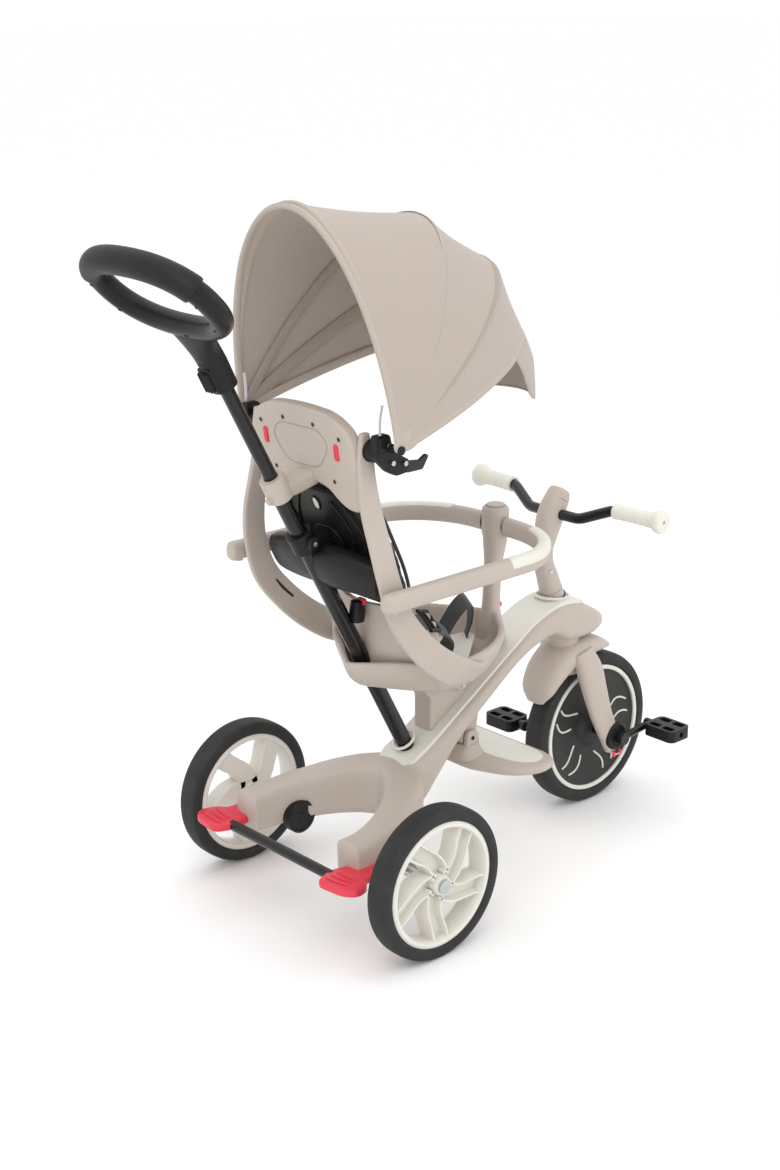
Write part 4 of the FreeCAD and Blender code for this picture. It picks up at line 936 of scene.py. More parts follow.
def cushion():
    """A crowned pad whose waist pulls in, with three sewn channels across it."""
    outline = rounded([(-84, -2), (-98, 58), (-90, 142), (-72, 170), (72, 170), (90, 142), (98, 58), (84, -2)], 26)
    pad = slab("back_cushion_cover", outline, 22, (on_panel(0, 0, 15), Y, PANEL_UP, PANEL_OUT), 3.2)
    inflate(remeshed(pad, 5), 4.0, 6.0)
    co = np.zeros(len(pad.data.vertices) * 3)
    pad.data.vertices.foreach_get("co", co)
    co = co.reshape(-1, 3)
    local = co * 1000 - [REAR_AXLE_X * 1000, 0, 0] - PANEL
    up = local @ PANEL_UP
    out = local @ PANEL_OUT - 15
    groove = sum(np.exp(-((up - at) / 3.2) ** 2) for at in (50, 92, 132))
    pressed = co - (PANEL_OUT / 1000)[None] * (np.sign(out) * np.clip(np.abs(out) / 8, 0, 1) * 3.0 * groove)[:, None]
    pad.data.vertices.foreach_set("co", pressed.reshape(-1))
    pad.data.polygons.foreach_set("use_smooth", np.ones(len(pad.data.polygons), bool))
    pad.data.update()
    fit(pad, AIR_MESH, "frame", "back_cushion")
    edge = rounded([(-88, -6), (-103, 58), (-95, 145), (-74, 175), (74, 175), (95, 145), (103, 58), (88, -6)], 28)
    line = on_panel(0, 0, 15) + edge[:, :1] * Y + edge[:, 1:] * PANEL_UP
    return fit(pipe("back_cushion_binding", np.concatenate([line, line[:1]]), 2.3, PANEL_OUT, 200, 12, loop=True),
               WEBBING, "frame")


cushion()
flap = [(14, -100, 478, 2.2, 14), (18, -99, 468, 2.2, 12), (22, -96, 455, 2.2, 10), (30, -92, 440, 2.2, 9)]
for y in (1, -1):
    fit(limb(f"cushion_tab_{'left' if y > 0 else 'right'}", np.array(flap) * [1, -y, 1, 1, 1], X, 4, 20, 20, (1, 1)),
        WEBBING, "frame")
print("panel and cushion")

# %% [markdown]
# ## Seat
# Flat moulded rails come down from the backrest and run into the rim of the bucket. The bucket is
# one skin: a grid whose rows go up the outside, over the rounded rim, down the inside and across
# the floor, and whose columns go round the plan.

# %% Rails
RAIL = [(-26, 98, 656, 4, 6), (-25, 98, 632, 4, 11), (-24, 99, 601, 4, 13), (-24, 106, 566, 4, 15),
        (-22, 120, 520, 4, 16), (-15, 128, 475, 4, 16.5), (0, 130, 430, 4, 18), (32, 127, 388, 4, 19),
        (72, 122, 352, 4, 20), (112, 117, 328, 4, 20), (150, 110, 316, 4, 16)]
for y in (1, -1):
    rail = [fit(limb("rail", np.array(RAIL) * [1, y, 1, 1, 1], X, 5, 130, 32, (1, 3)), BEIGE, None)]
    # The slit is a near-black limb of painted shade set on the rail.
    slit = with_size([(16, y * 128.6, 414), (27, y * 127.4, 400), (41, y * 125.8, 386)], 3.6, [3.2, 4.4, 3.2])
    rail.append(fit(limb("rail_slit", slit, X, 2, 20, 16, (2, 2)), BUTTON_SHADOW, None))
    fit(join(f"rail_moulding_{'left' if y > 0 else 'right'}", rail), BEIGE, "frame",
        *(["side_rails"] if y > 0 else []))


# %% Bucket
def bucket():
    """Each row is a closed plan outline at one height; z varies round the outline too."""
    def plan(points, count=160):
        """Mirror half an outline across y = 0, then read it at even angles round (150, 0)."""
        half = np.array(points, float)
        whole = np.concatenate([half, half[-2:0:-1] * [1, -1]])
        dense = closed_through(whole, 1200)
        angle = np.unwrap(np.arctan2(dense[:, 1], dense[:, 0] - 150))
        order = np.argsort(np.mod(angle, 2 * np.pi))
        at = np.linspace(0, 2 * np.pi, count, endpoint=False)
        a = np.mod(angle, 2 * np.pi)[order]
        a = np.concatenate([a[-1:] - 2 * np.pi, a, a[:1] + 2 * np.pi])
        p = dense[order]
        p = np.concatenate([p[-1:], p, p[:1]])
        return np.column_stack([np.interp(at, a, p[:, k]) for k in (0, 1)])

    rim = plan([(26, 0), (34, 16), (54, 48), (74, 80), (96, 104), (124, 116), (154, 115), (200, 100), (238, 74),
                (266, 42), (286, 14), (290, 0)])
    base = plan([(62, 0), (68, 14), (84, 42), (102, 66), (126, 80), (150, 82), (185, 68), (217, 50), (240, 24),
                 (248, 0)])
    floor = plan([(74, 0), (79, 16), (94, 46), (112, 72), (134, 86), (160, 87), (200, 72), (228, 48), (246, 20),
                  (250, 0)])
    lift = np.interp(rim[:, 0], [26, 60, 110, 180, 240, 290], [327, 333, 336, 338, 340, 336])
    rows = []
    for outline, z in ((base * 0.05 + [142, 0], 288), (base * 0.6 + [60, 0], 288), (base, 289.5)):
        rows.append(np.column_stack([outline, np.full(len(rim), float(z))]))
    for t in np.linspace(0.12, 1, 9):
        k = np.sin(t * np.pi / 2) ** 0.9
        rows.append(np.column_stack([base + (rim - base) * k,
                                     289.5 + (lift - 289.5) * (1 - np.cos(t * np.pi / 2)) ** 0.75]))
    inward = unit(np.column_stack([floor - rim, np.zeros(len(rim))]))
    top = rows[-1]
    rows.append(top + inward * 1.2 + [0, 0, 2.2])
    rows.append(top + inward * 4 + [0, 0, 3.2])
    rows.append(top + inward * 7 + [0, 0, 2.2])
    rows.append(top + inward * 8.6 + [0, 0, -1])
    start = rows[-1]
    for t in np.linspace(0.15, 1, 8):
        z = start[:, 2] + (298 - start[:, 2]) * np.sin(t * np.pi / 2)
        rows.append(np.column_stack([start[:, :2] + (floor - start[:, :2]) * (1 - np.cos(t * np.pi / 2)), z]))
    rows.append(np.column_stack([floor * 0.55 + [67, 0], np.full(len(rim), 296.5)]))
    rows.append(np.column_stack([floor * 0.05 + [142, 0], np.full(len(rim), 296.0)]))
    return solid("seat_bucket_moulding", np.array(rows), crease=50)


seat = [fit(bucket(), BEIGE, None)]
steps = np.linspace(-1, 1, 41)
height = np.linspace(300, 408, 24)
bowed = 54 + 40 * np.abs(steps) ** 1.7
front = np.dstack([np.broadcast_to(bowed + 3, (24, 41)), np.outer(88 + 4 * np.linspace(1, 0, 24), steps),
                   np.broadcast_to(height[:, None], (24, 41))])
front[..., 2] -= 12 * (np.abs(front[..., 1]) / 100) ** 4 * np.linspace(0, 1, 24)[:, None]
front[..., 0] -= 10 * np.linspace(0, 1, 24)[:, None] ** 2
seat.append(fit(cloth("seat_back_wall", front, 6, front[..., 1:] / 1000, 40), BEIGE, None))
for y in (-1, 1):
    seat.append(fit(limb("seat_wall_post", [(88, y * 90, 390, 5, 7), (92, y * 94, 360, 5, 8),
                                            (98, y * 98, 322, 5, 9)], X, 3, 24, 24,
                         (3, 2)), BEIGE, None))
    seat.append(fit(slab("seat_catch", box_outline(9, 9, 2), 5, (np.array([74, y * 36, 318]), Y, Z, X), 6), CREAM,
                    None))
    seat.append(fit(limb("seat_shelf_rib", [(60, y * 12, 322, 2, 2), (74, y * 46, 322, 2, 2),
                                            (96, y * 84, 323, 2, 2)], Z, 2, 20, 12, (1, 1)),
                    BEIGE, None))
boss = [(1, 298), (22, 299), (20, 312), (16, 328), (13.4, 340), (1, 341)]
seat.append(fit(turning("guard_post_boss", boss, np.array([286, 0, 0.0]), Z, 60), BEIGE, None))
fit(join("seat_moulding", seat), BEIGE, "frame", "seat_bucket")


def raise_front(local):
    """The insert climbs towards the front, following the floor."""
    x = local[..., 0] + 165
    local[..., 2] += 16 * np.clip((x - 165) / 90, 0, 1) ** 1.6
    return local


insert = rounded([(-55, -76), (-10, -76), (26, -52), (84, -8), (84, 8), (26, 52), (-10, 76), (-55, 76)],
                 [24, 20, 30, 8, 8, 30, 20, 24])
fit(slab("seat_insert_pad", insert, 5, (np.array([165, 0, 299.5]), X, Y, Z), 8, raise_front), CREAM, "frame",
    "seat_insert")
print("seat")

# %% Seat bracket and its lever
bracket = rounded([(158, 199), (226, 240), (224, 288), (146, 288), (148, 258), (158, 250)], [4, 4, 2, 2, 6, 6])
fit(slab("seat_bracket_moulding", bracket, 33, (np.zeros(3), X, Z, -Y), 12), BEIGE, "frame", "seat_bracket")
lever = rounded([(166, 258), (188, 258), (216, 247), (221, 262), (188, 279), (166, 279)], 7)
for y in (-20, 20):
    arm = slab(f"seat_clamp_plate_{'left' if y > 0 else 'right'}", lever, 8, (np.array([0, y, 0.0]), X, Z, -Y), 7)
    if y < 0:
        fit(arm, BEIGE, "seat_lever", "seat_lever")
    else:
        fit(arm, BEIGE, "frame")
for x, z in ((178, 268), (212, 256)):
    fit(pipe(f"seat_clamp_screw_{x}", [(x, -23.6, z), (x, -25.6, z)], 3.4, Z, 4, 24, 0.5), ZINC,
        "seat_lever")
# A near-black slab of painted shadow fills the gap between the bucket's underside and the bracket.
dark = rounded([(140, 262), (170, 278), (182, 288), (140, 288)], 4)
fit(slab("seat_underside_gap", dark, 26, (np.array([0, 0, 0.0]), X, Z, -Y), 10), BUTTON_SHADOW, "frame")
print("bracket")

# %% [markdown]
# ## Canopy
# Four hoops fan out from one pivot. Each gore is one sheet stretched from hoop to hoop: a straight
# line between matching points, pulled in a little at mid-span as cloth under tension is.

# %% Gores
LEANS = [(-8.0, 275.0), (33.7, 291.0), (57.4, 326.0), (75.0, 335.0)]
HALF_WIDTH = 147.0
SLEEVE_INSET = 2.0


def hoop_way(lean):
    """The direction from the pivot to a hoop's top: z tipped forward by lean degrees."""
    return np.array([np.sin(np.radians(lean)), 0, np.cos(np.radians(lean))])


def hoop_line(theta, lean, high, wide=HALF_WIDTH):
    """Half an oval: pivot + way * high * cos(theta) + Y * wide * sin(theta)."""
    return HOOP_PIVOT + hoop_way(lean) * (high * np.cos(theta))[..., None] + Y * (wide * np.sin(theta))[..., None]


def flat_of(grid):
    """The cut cloth: distance run along the middle line, and distance across from it, in metres."""
    middle = grid[:, grid.shape[1] // 2]
    along = np.concatenate([[0], np.cumsum(np.linalg.norm(np.diff(middle, axis=0), axis=1))])
    across = np.concatenate([np.zeros((len(grid), 1)), np.cumsum(np.linalg.norm(np.diff(grid, axis=1), axis=2), 1)],
                            1)
    across = across - across[:, -1:] / 2
    return np.dstack([np.broadcast_to(along[:, None], across.shape),
                      across]) / 1000, along[-1] / 1000, float(np.ptp(across, axis=1).max()) / 1000


def gore(name, first, second, sag, node):
    """Matching points of two hoops joined by straight lines, less sag * sin(pi v) * cos(theta), plus a ripple."""
    theta = np.linspace(-0.985, 0.985, 121) * np.pi / 2
    v = np.linspace(0, 1, 29)[None, :, None]
    a = hoop_line(theta, *first)[:, None]
    b = hoop_line(theta, *second)[:, None]
    pull = hoop_way((first[0] + second[0]) / 2) * (np.cos(theta) * sag)[:, None, None]
    slack = 0.8 * np.sin(9 * theta)[:, None, None] * np.sin(2 * np.pi * v) * hoop_way((first[0] + second[0]) / 2)
    grid = a * (1 - v) + b * v - pull * np.sin(np.pi * v) + slack
    flat, length, width = flat_of(grid)
    piece = fit(cloth(name, grid, 1.3, flat), CANOPY, None, node)
    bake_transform(piece)
    return grid


def sleeve_on(name, lean, high, half_along, half_in, finish, body, *nodes, reach=0.985):
    """A flat tube of cloth that follows a hoop."""
    theta = np.linspace(-reach, reach, 70) * np.pi / 2
    line = hoop_line(theta, lean, high, HALF_WIDTH - SLEEVE_INSET)
    piece = limb(name, with_size(line, half_in, half_along), unit(np.cross(Y, hoop_way(lean))), 2.4, 150, 20, (1, 1))
    return fit(piece, finish, body, *nodes)


CLOTH_SEAM = woven_solid("polyester_thread_taupe", "#8D8071", "#85796B", 1.2, 0.2, 0.1)
# SLEEVE_SHADED is the sleeve tape's taupe made darker: painted shade for the sleeves that sit under the canopy.
SLEEVE_SHADED = woven_solid("polyester_sleeve_taupe_painted_shade", "#9F9287", "#A6998E", 1.6, 0.2, 0.1)
SLEEVE_TAPE = woven_solid("polyester_tape_taupe", "#B1A59B", "#B8ACA2", 1.6, 0.25, 0.1)
sleeve_on("canopy_sleeve_rear", -8.6, 272.2, 5.0, 3.4, SLEEVE_TAPE, "frame", "canopy_hoop_rear")
# The two middle sleeves take the darker cloth, painted shade of the canopy's inside.
sleeve_on("canopy_sleeve_second", 33.7, 287.0, 6.5, 3.2, SLEEVE_SHADED, "canopy_second", "canopy_hoop_second")
sleeve_on("canopy_sleeve_third", 57.0, 322.0, 8.5, 3.2, SLEEVE_SHADED, "canopy_third", "canopy_hoop_third")
sleeve_on("canopy_sleeve_front", 74.6, 331.6, 6.0, 3.4, SLEEVE_TAPE, "canopy_front", "canopy_hoop_front")
gore("canopy_rear_gore", LEANS[0], LEANS[1], 4.5, "canopy_gore_rear")
gore("canopy_middle_gore", LEANS[1], LEANS[2], 4.0, "canopy_gore_middle")
gore("canopy_front_gore", LEANS[2], LEANS[3], 2.5, "canopy_gore_front")
sleeve_on("canopy_ridge_rear", -6.6, 275.2, 3.0, 1.6, SLEEVE_TAPE, "frame")
sleeve_on("canopy_piping_rear", -8.9, 275.0, 1.6, 1.6, SLEEVE_TAPE, "frame")
sleeve_on("canopy_ridge_second", 33.7, 291.2, 3.6, 1.7, SLEEVE_TAPE, "canopy_second")
sleeve_on("canopy_stitch_second", 32.9, 291.6, 0.5, 0.6, CLOTH_SEAM, "canopy_second")
sleeve_on("canopy_ridge_third", 57.4, 326.2, 1.8, 1.2, SLEEVE_TAPE, "canopy_third")
sleeve_on("canopy_stitch_third", 57.0, 326.6, 0.5, 0.6, CLOTH_SEAM, "canopy_third")
sleeve_on("canopy_ridge_front", 75.0, 335.0, 2.0, 1.4, SLEEVE_TAPE, "canopy_front")
sleeve_on("canopy_stitch_front", 74.4, 335.6, 0.5, 0.6, CLOTH_SEAM, "canopy_front")


# %% Rear facing band and visor
def strip(name, leans, highs, body, finish, thickness=1.0, wide=HALF_WIDTH - 3):
    """A band between two ovals of one hoop, blended evenly from the first to the second."""
    theta = np.linspace(-0.97, 0.97, 121) * np.pi / 2
    v = np.linspace(0, 1, 7)
    grid = np.stack([hoop_line(theta, lean, high, wide) for lean, high in
                     zip(np.interp(v, [0, 1], leans), np.interp(v, [0, 1], highs))], axis=1)
    flat, length, width = flat_of(grid)
    piece = fit(cloth(name, grid, thickness, flat), finish, body)
    return piece


strip("canopy_facing_rear", (-8.6, -4.2), (270, 267.5), "frame", CANOPY_LINING)


def visor():
    """A tongue of cloth before the front hoop: it keeps the hoop's arch and rounds off at its corners."""
    t = np.linspace(0, 1, 25)
    half = 98 * np.interp(t, [0, 0.5, 0.8, 0.93, 1], [1, 0.96, 0.88, 0.78, 0.62])
    s = np.linspace(-1, 1, 61)
    y = half[None] * s[:, None]
    lean = 75 + 15.5 * t
    high = np.interp(t, [0, 0.4, 1], [335, 345, 346])
    arch = high * np.sqrt(1 - (y / HALF_WIDTH) ** 2)
    grid = HOOP_PIVOT + np.stack([hoop_way(k) for k in lean])[None] * arch[..., None] + Y * y[..., None]
    flat, length, width = flat_of(grid)
    piece = fit(cloth("canopy_visor_cloth", grid, 1.6, flat), CANOPY, "canopy_front", "canopy_visor")
    edge = np.concatenate([grid[0, :-1], grid[:-1, -1], grid[-1, ::-1]])
    fit(pipe("canopy_visor_hem", edge, 1.3, Y, 160, 10, 1), SLEEVE_TAPE, "canopy_front")


visor()
for y, side in ((1, "left"), (-1, "right")):
    patch = limb(f"canopy_gusset_{side}", [(HOOP_PIVOT[0] - 4, y * 146.5, HOOP_PIVOT[2] + 3, 1.8, 7),
                                           (HOOP_PIVOT[0] + 12, y * 146.5, HOOP_PIVOT[2] + 9, 1.8, 13),
                                    (HOOP_PIVOT[0] + 28, y * 145, HOOP_PIVOT[2] + 14, 1.6, 12)], Z, 3, 20, 24, (5, 4))
    fit(patch, SLEEVE_TAPE, "frame")
print("canopy")

# %% Canopy brackets
NYLON = moulded("nylon_clear_strap", "#D9D9DE", "#CFCFD6", 0.3)
for y, side in ((1, "left"), (-1, "right")):
    middle = HOOP_PIVOT + [-5, 0, -8]
    parts = [fit(turning("socket", [(1, 96), (12.5, 96), (13, 98), (13, 114), (11, 118), (1, 118)], middle, y * Y,
                         60), BLACK, None),
             fit(turning("socket_band", [(13.4, 100), (14, 101), (14, 104), (13.4, 105), (12, 105), (12, 100)],
                         middle, y * Y, 60, loop=True), BLACK, None)]
    plate = rounded([(-32, 658), (-11, 658), (-7, 641), (2, 632), (20, 622), (20, 607), (0, 605), (-13, 612),
                     (-31, 630)], 4)
    parts.append(fit(slab("plate", plate, 13, (Y * y * 121, X, Z, -Y), 9), BLACK, None))
    parts.append(fit(slab("plate_rib", rounded([(-30, 656), (-13, 656), (-13, 640), (-30, 640)], 3), 4,
                          (Y * y * 128.5, X, Z, -Y), 6), BLACK, None))
    parts.append(fit(pipe("pin", [(HOOP_PIVOT[0], y * 120, HOOP_PIVOT[2] - 1),
                                  (HOOP_PIVOT[0], y * 150, HOOP_PIVOT[2] - 1)], 5.4, Z, 8, 30, 1), BLACK, None))
    tab = rounded([(14, 621), (38, 618), (48, 624), (52, 621), (42, 606), (16, 606)], 2.5)
    parts.append(fit(slab("tab", tab, 5, (Y * y * 124, X, Z, -Y), 8), CHARCOAL, None))
    for x, z in ((-15.6, 645.5), (10.4, 619.5), (-9.3, 623.1)):
        parts.append(fit(pipe("screw", [(x, y * 126.6, z), (x, y * 131.2, z)], 3.1, Z, 4, 24, 0.6), ZINC, None))
    fit(join(f"canopy_bracket_{side}", parts), BLACK, "frame", *(["canopy_brackets"] if y > 0 else []))
    strap = with_size([(-25, y * 125, 652), (-25, y * 125, 676), (-24, y * 128, 694)], 0.5, 2.0)
    fit(limb(f"canopy_strap_{side}", strap, X, 4, 20, 16), NYLON, "frame")
print("brackets")

# %% [markdown]
# ## Guard ring
# Two arms swing from pivots beside the backrest and meet at a round hub on a post. The section is
# 25 mm tall and 18 mm wide, and a soft cream strip is let into its upper outer side.

# %% Guard
def guard_line(low, high, count):
    """Distance 0 at the rear end; the last quarter is a quarter oval of 99 by 114 mm."""
    a = np.linspace(0, np.pi / 2, 40)
    path = np.concatenate([[(-36, 148), (20, 148), (80, 148), (140, 148)],
                           np.column_stack([195 + 99 * np.sin(a), 34 + 114 * np.cos(a)]), [(294.5, 21)]])
    knots = np.concatenate([[0], np.cumsum(np.linalg.norm(np.diff(path, axis=0), axis=1))])
    at = np.linspace(low, high, count) * knots[-1]
    return np.column_stack([np.interp(at, knots, path[:, k]) for k in (0, 1)])


for y, side in ((1, "left"), (-1, "right")):
    flat = guard_line(0.0, 1.0, 40)
    line = np.column_stack([flat[:, 0], y * flat[:, 1], np.full(40, 459.5)])
    arm = [fit(limb("arm", with_size(line, 9.2, 12.6), Z, 2.7, 150, 40, (8, 0.5)), BEIGE, None)]
    flat = guard_line(0.50, 0.86, 24)
    line = np.column_stack([flat[:, 0], y * flat[:, 1], np.full(24, 464.8)])
    out = unit(np.column_stack([flat[:, 0] - 120, y * flat[:, 1], np.zeros(24)]))
    arm.append(fit(limb("soft_strip", with_size(line + out * 1.2, 8.9, 8.4), Z, 2.6, 90, 36, (7, 7)), GRIP, None))
    fit(join(f"guard_arm_moulding_{side}", arm), BEIGE, f"guard_{side}", f"guard_arm_{side}")
    # A near-black disc of painted shade fills the gap where each arm meets the hub.
    fit(pipe(f"guard_gap_{side}", [(294.2, y * 19.2, 459.5), (294.2, y * 21.6, 459.5)], 8.6, Z, 3, 30),
        BUTTON_SHADOW, "frame")
    fit(pipe(f"guard_pivot_{side}", [(-28, y * 148, 446), (-28, y * 148, 449)], 6, X, 4, 30, 1), BEIGE, "frame",
        *(["guard_hinges"] if y > 0 else []))
post = [(286.5, 0, 326, 14, 15), (287, 0, 345, 12, 12.6), (288.5, 0, 375, 11.4, 11.8), (291, 0, 410, 12.4, 12.6),
        (293.4, 0, 436, 15.6, 15.8), (294, 0, 446, 16.6, 16.8)]
hub = [fit(limb("post", post, X, 2.2, 60, 44), BEIGE, None)]
head = [(1, 441), (14, 441), (17.6, 444.5), (18.5, 449), (18.5, 471.6), (17.9, 472.2), (18.5, 472.8), (18.5, 479),
        (17.4, 483), (14.4, 485.6),
        (1, 486)]
hub.append(fit(turning("hub", head, np.array([294.0, 0, 0]), Z, 80), BEIGE, None))
hub.append(fit(turning("hub_cap", [(1, 485), (12.6, 485.4), (12.6, 487.2), (11.8, 488), (1, 488.2)],
                       np.array([294.0, 0, 0]), Z, 60), BEIGE, None))
hub.append(fit(pipe("hub_cap_seam", with_ring((294, 0, 486), X, Y, 13.2, 40), 0.5, Z, 80, 8, loop=True), SEAM, None))
fit(join("guard_post_moulding", hub), BEIGE, "frame", "guard_post")
fit(slab("guard_red_key", box_outline(12, 7.4, 3.4), 8.4, (np.array([299.6, 0, 345]), Y, Z, X), 4), RED,
    "guard_button", "guard_button")
print("guard")

# %% [markdown]
# ## Collar and clamp on the push tube
# A beige ring holds the tube's top to the backrest, and a black one clamps it lower down.

# %% Rings on the tube
ring = [(10.9, 462), (15, 462), (16, 463.4), (16, 492), (15, 494), (11, 495), (9.2, 495), (9.2, 486), (10.9, 484)]
collar = [fit(turning("collar", ring, TUBE_FOOT, TUBE, 70, loop=True), BEIGE, None),
          fit(limb("collar_arm", [(-74, 0, 577, 12, 10), (-52, 0, 581, 12.5, 10.5), (-30, 0, 588, 15, 11)], Z, 4, 24,
                   32), BEIGE, None)]
spot = on_tube(470) - TUBE_SIDE * 15.6
collar.append(fit(pipe("collar_key", [spot, spot - TUBE_SIDE * 3.6], 4.6, Y, 6, 24, 1), BEIGE, None))
fit(join("tube_collar_moulding", collar), BEIGE, "frame", "tube_collar")
ring = [(11.1, 381), (16, 381), (17.2, 382.6), (17.2, 406.6), (16, 408.4), (11.1, 408.4)]
clamp = [fit(turning("clamp", ring, TUBE_FOOT, TUBE, 70, loop=True), BLACK, None),
         fit(limb("clamp_arm", [(-32, 0, 508, 13, 10), (-14, 0, 508, 13, 10), (4, 0, 506, 13, 10)], Z, 4, 24, 32),
             BLACK, None)]
spot = on_tube(395) - Y * 17
clamp.append(fit(limb("clamp_ear", with_size([spot, spot - Y * 7], 7, 8), Z, 4, 10, 28, (0, 1)), BLACK, None))
clamp.append(fit(pipe("clamp_screw", [spot - Y * 7.6, spot - Y * 8.8], 3.2, Z, 4, 24, 0.4), ZINC, None))
fit(join("tube_clamp_moulding", clamp), BLACK, "frame", "tube_clamp")
print("collar and clamp")

# %% [markdown]
# ## Steering
# The stem swells where the handlebar passes through it, and a slanted cap closes its top. Below
# the neck the fork's crown, its two legs and the mudguard are one smooth moulding.

# %% Stem and grips
stem = [(*on_steering(229), 17.6, 17.6), (*on_steering(238), 16.6, 16.6), (*on_steering(262), 15.2, 15.2),
        (*on_steering(290), 13.6, 13.8), (389, 0, 403, 13.2, 14), (394, 0, 424, 15, 17), (401, 0, 446, 17.2, 20),
        (409, 0, 462, 17, 19.5), (418, 0, 476, 15.6, 17)]
pieces = [fit(limb("stem_moulding", stem, X, 2.1, 110, 52, (1, 2)), BEIGE, None),
          fit(pipe("stem_seam", with_ring(on_steering(243), Y, [0.943, 0, 0.334], 16.35, 40), 0.5, STEER, 90, 8,
                   loop=True), SEAM, None),
          # The near-black ring at the stem's foot is painted shade in the gap there.
          fit(pipe("stem_gap", with_ring(on_steering(231), Y, [0.943, 0, 0.334], 18.2, 40), 1.0, STEER, 90, 8,
                   loop=True), BUTTON_SHADOW, None)]
spot = on_steering(276) + np.array([-0.25, -0.97, 0]) * 14
pieces.append(fit(pipe("stem_screw", [spot, spot + np.array([-0.25, -0.97, 0]) * 1.4], 3.1, Z, 4, 24, 0.3), ZINC,
                  None))
fit(join("stem_moulding", pieces), BEIGE, "steering", "stem")
way = unit([9, 0, 14])
cap = [(1, -6), (15.8, -6), (16.2, -4), (16.0, 6), (13.6, 10.4), (9, 12.2), (1, 12.6)]
top = [fit(turning("cap", cap, np.array([416.0, 0, 474]), way, 60), BEIGE, None),
       fit(pipe("cap_seam", with_ring(np.array([416.0, 0, 474]) - way * 3, Y, unit([14, 0, -9]), 16.3, 40), 0.55,
                way, 90, 8, loop=True), SEAM, None)]
fit(join("stem_cap_moulding", top), BEIGE, "steering", "stem_cap")
profile = [(7.7, 0), (10.8, 0.4), (11.4, 3), (10.7, 9), (10.4, 30), (10.8, 56), (12, 64), (15, 68.5), (16.4, 72),
           (16.4, 75.5),
           (14.8, 78.4), (9, 79.4), (3.2, 79.4), (2.6, 78.6), (2.6, 60), (7.7, 59)]
grips = [fit(turning("grip", profile, np.array([428.3, y * 95, 470.4]), np.array([7.7, y * 75, -1.6]), 60,
                     loop=True), GRIP, None)
         for y in (1, -1)]
for y in (1, -1):
    way = unit([7.7, y * 75, -1.6])
    side = unit(np.cross(way, Z))
    for k in range(5):
        at = np.array([428.3, y * 95, 470.4]) + way * (16 + 9 * k)
        grips.append(fit(pipe("grip_ring", with_ring(at, side, np.cross(side, way), 10.55, 30), 0.5, way, 60, 8,
                              loop=True), GRIP, None))
fit(join("grip_pair", grips), GRIP, "steering", "grips")

# %% Fork and mudguard
FENDER = [(148, 127, 5, 16), (143, 131, 11, 25), (134, 135, 15, 31), (122, 137.5, 18, 34), (108, 137.5, 18, 34),
          (95, 133, 14, 32),
          (86, 129, 10, 27), (79, 126, 6, 20)]
angle, radius, thick, wide = np.array(FENDER, float).T
angle = np.radians(angle)
hood = FRONT_AXLE + np.column_stack([radius * np.cos(angle), np.zeros(len(angle)), radius * np.sin(angle)])
fit(limb("mudguard_moulding", np.column_stack([hood, thick, wide]), Y, 2.5, 110, 60, (4, 4)), BEIGE, "steering",
    "front_fender")
crown = [(1, 133.2), (20.6, 133.2), (22, 131.6), (23, 126), (27, 118), (30, 112), (1, 110)]
fork = [fit(turning("crown", crown, FRONT_AXLE, STEER, 70), BEIGE, None),
        # The near-black ring between the crown and the neck is painted shade in the gap between them.
        fit(pipe("neck_seam", with_ring(on_steering(133.8), Y, [0.943, 0, 0.334], 21.2, 40), 0.7, STEER, 90, 8,
                 loop=True),
            BUTTON_SHADOW, None)]
for y in (1, -1):
    leg = [(442, y * 30, 246, 10, 18), (448, y * 38, 222, 11.5, 22), (455, y * 44.5, 186, 10.5, 21),
           (465, y * 48.5, 150, 9.6, 18.5),
           (478, y * 51, 118, 9, 16.5), (486.5, y * 52, 96, 8, 14)]
    fork.append(fit(limb("leg", leg, X, 2.6, 90, 44, (2, 7)), BEIGE, None))
fit(join("fork_moulding", fork), BEIGE, "steering", "fork")
covers = []
for y in (1, -1):
    centre = np.array(FRONT_AXLE)
    cover = [(7.4, 56), (19.6, 56), (20.4, 58), (20.2, 61), (18, 63.2), (14, 63.8), (13.2, 62.6), (12.2, 62.6),
             (11.6, 64), (8.4, 64.4), (7.4, 63.8)]
    covers.append(fit(turning("cover", cover, centre, y * Y, 70, loop=True), BLACK, None))
    for x in (-6.5, 6.5):
        covers.append(fit(limb("tab", with_size([(486.5 + x, y * 61.6, 91), (486.5 + x, y * 61.6, 84)], 1.6, 2.6), X,
                               3, 10, 16, (1, 1)), RED, None))
    covers.append(fit(pipe("bridge", [(481, y * 62, 86), (492, y * 62, 86)], 1.0, Z, 8, 10, 0.5), CREAM, None))
fit(join("hub_cover_pair", covers), BLACK, "steering", "hub_covers")
finish_node(TUBE_COAT, "crankset")
finish_node(BLACK, "pedal_left", "pedal_right")
print("steering")

# %% [markdown]
# ## Brake and footrest
# Two red pedals hang on a bar behind the axle. The footrest is a beige tray with a cream pad, on
# a lug below the spine.

# %% Brake pedals
PEDAL = rounded([(-118, 104), (-113, 146), (-100, 160), (-80, 156), (-70, 140), (-46, 138), (-22, 137), (-2, 136),
                 (-2, 124), (-24, 120),
                 (-44, 108), (-64, 98), (-90, 92)], [10, 12, 8, 10, 6, 4, 6, 5, 5, 8, 12, 14, 12])
pieces = []
for y in (1, -1):
    shape = slab("pedal", PEDAL * [1, y], 13, (np.array([0, 0, 106.0]), X, Y, Z), 5)
    pieces.append(fit(shape, RED, None))
    for k in range(3):
        line = [(-106 + 9 * k, y * 108, 112.9), (-105 + 9 * k, y * 126, 113.1), (-101 + 9 * k, y * 142, 112.9)]
        pieces.append(fit(pipe("rib", line, 1.1, Z, 14, 10, 1), RED, None))
fit(join("brake_pedal_pair", pieces), RED, "brake", "brake_pedals")

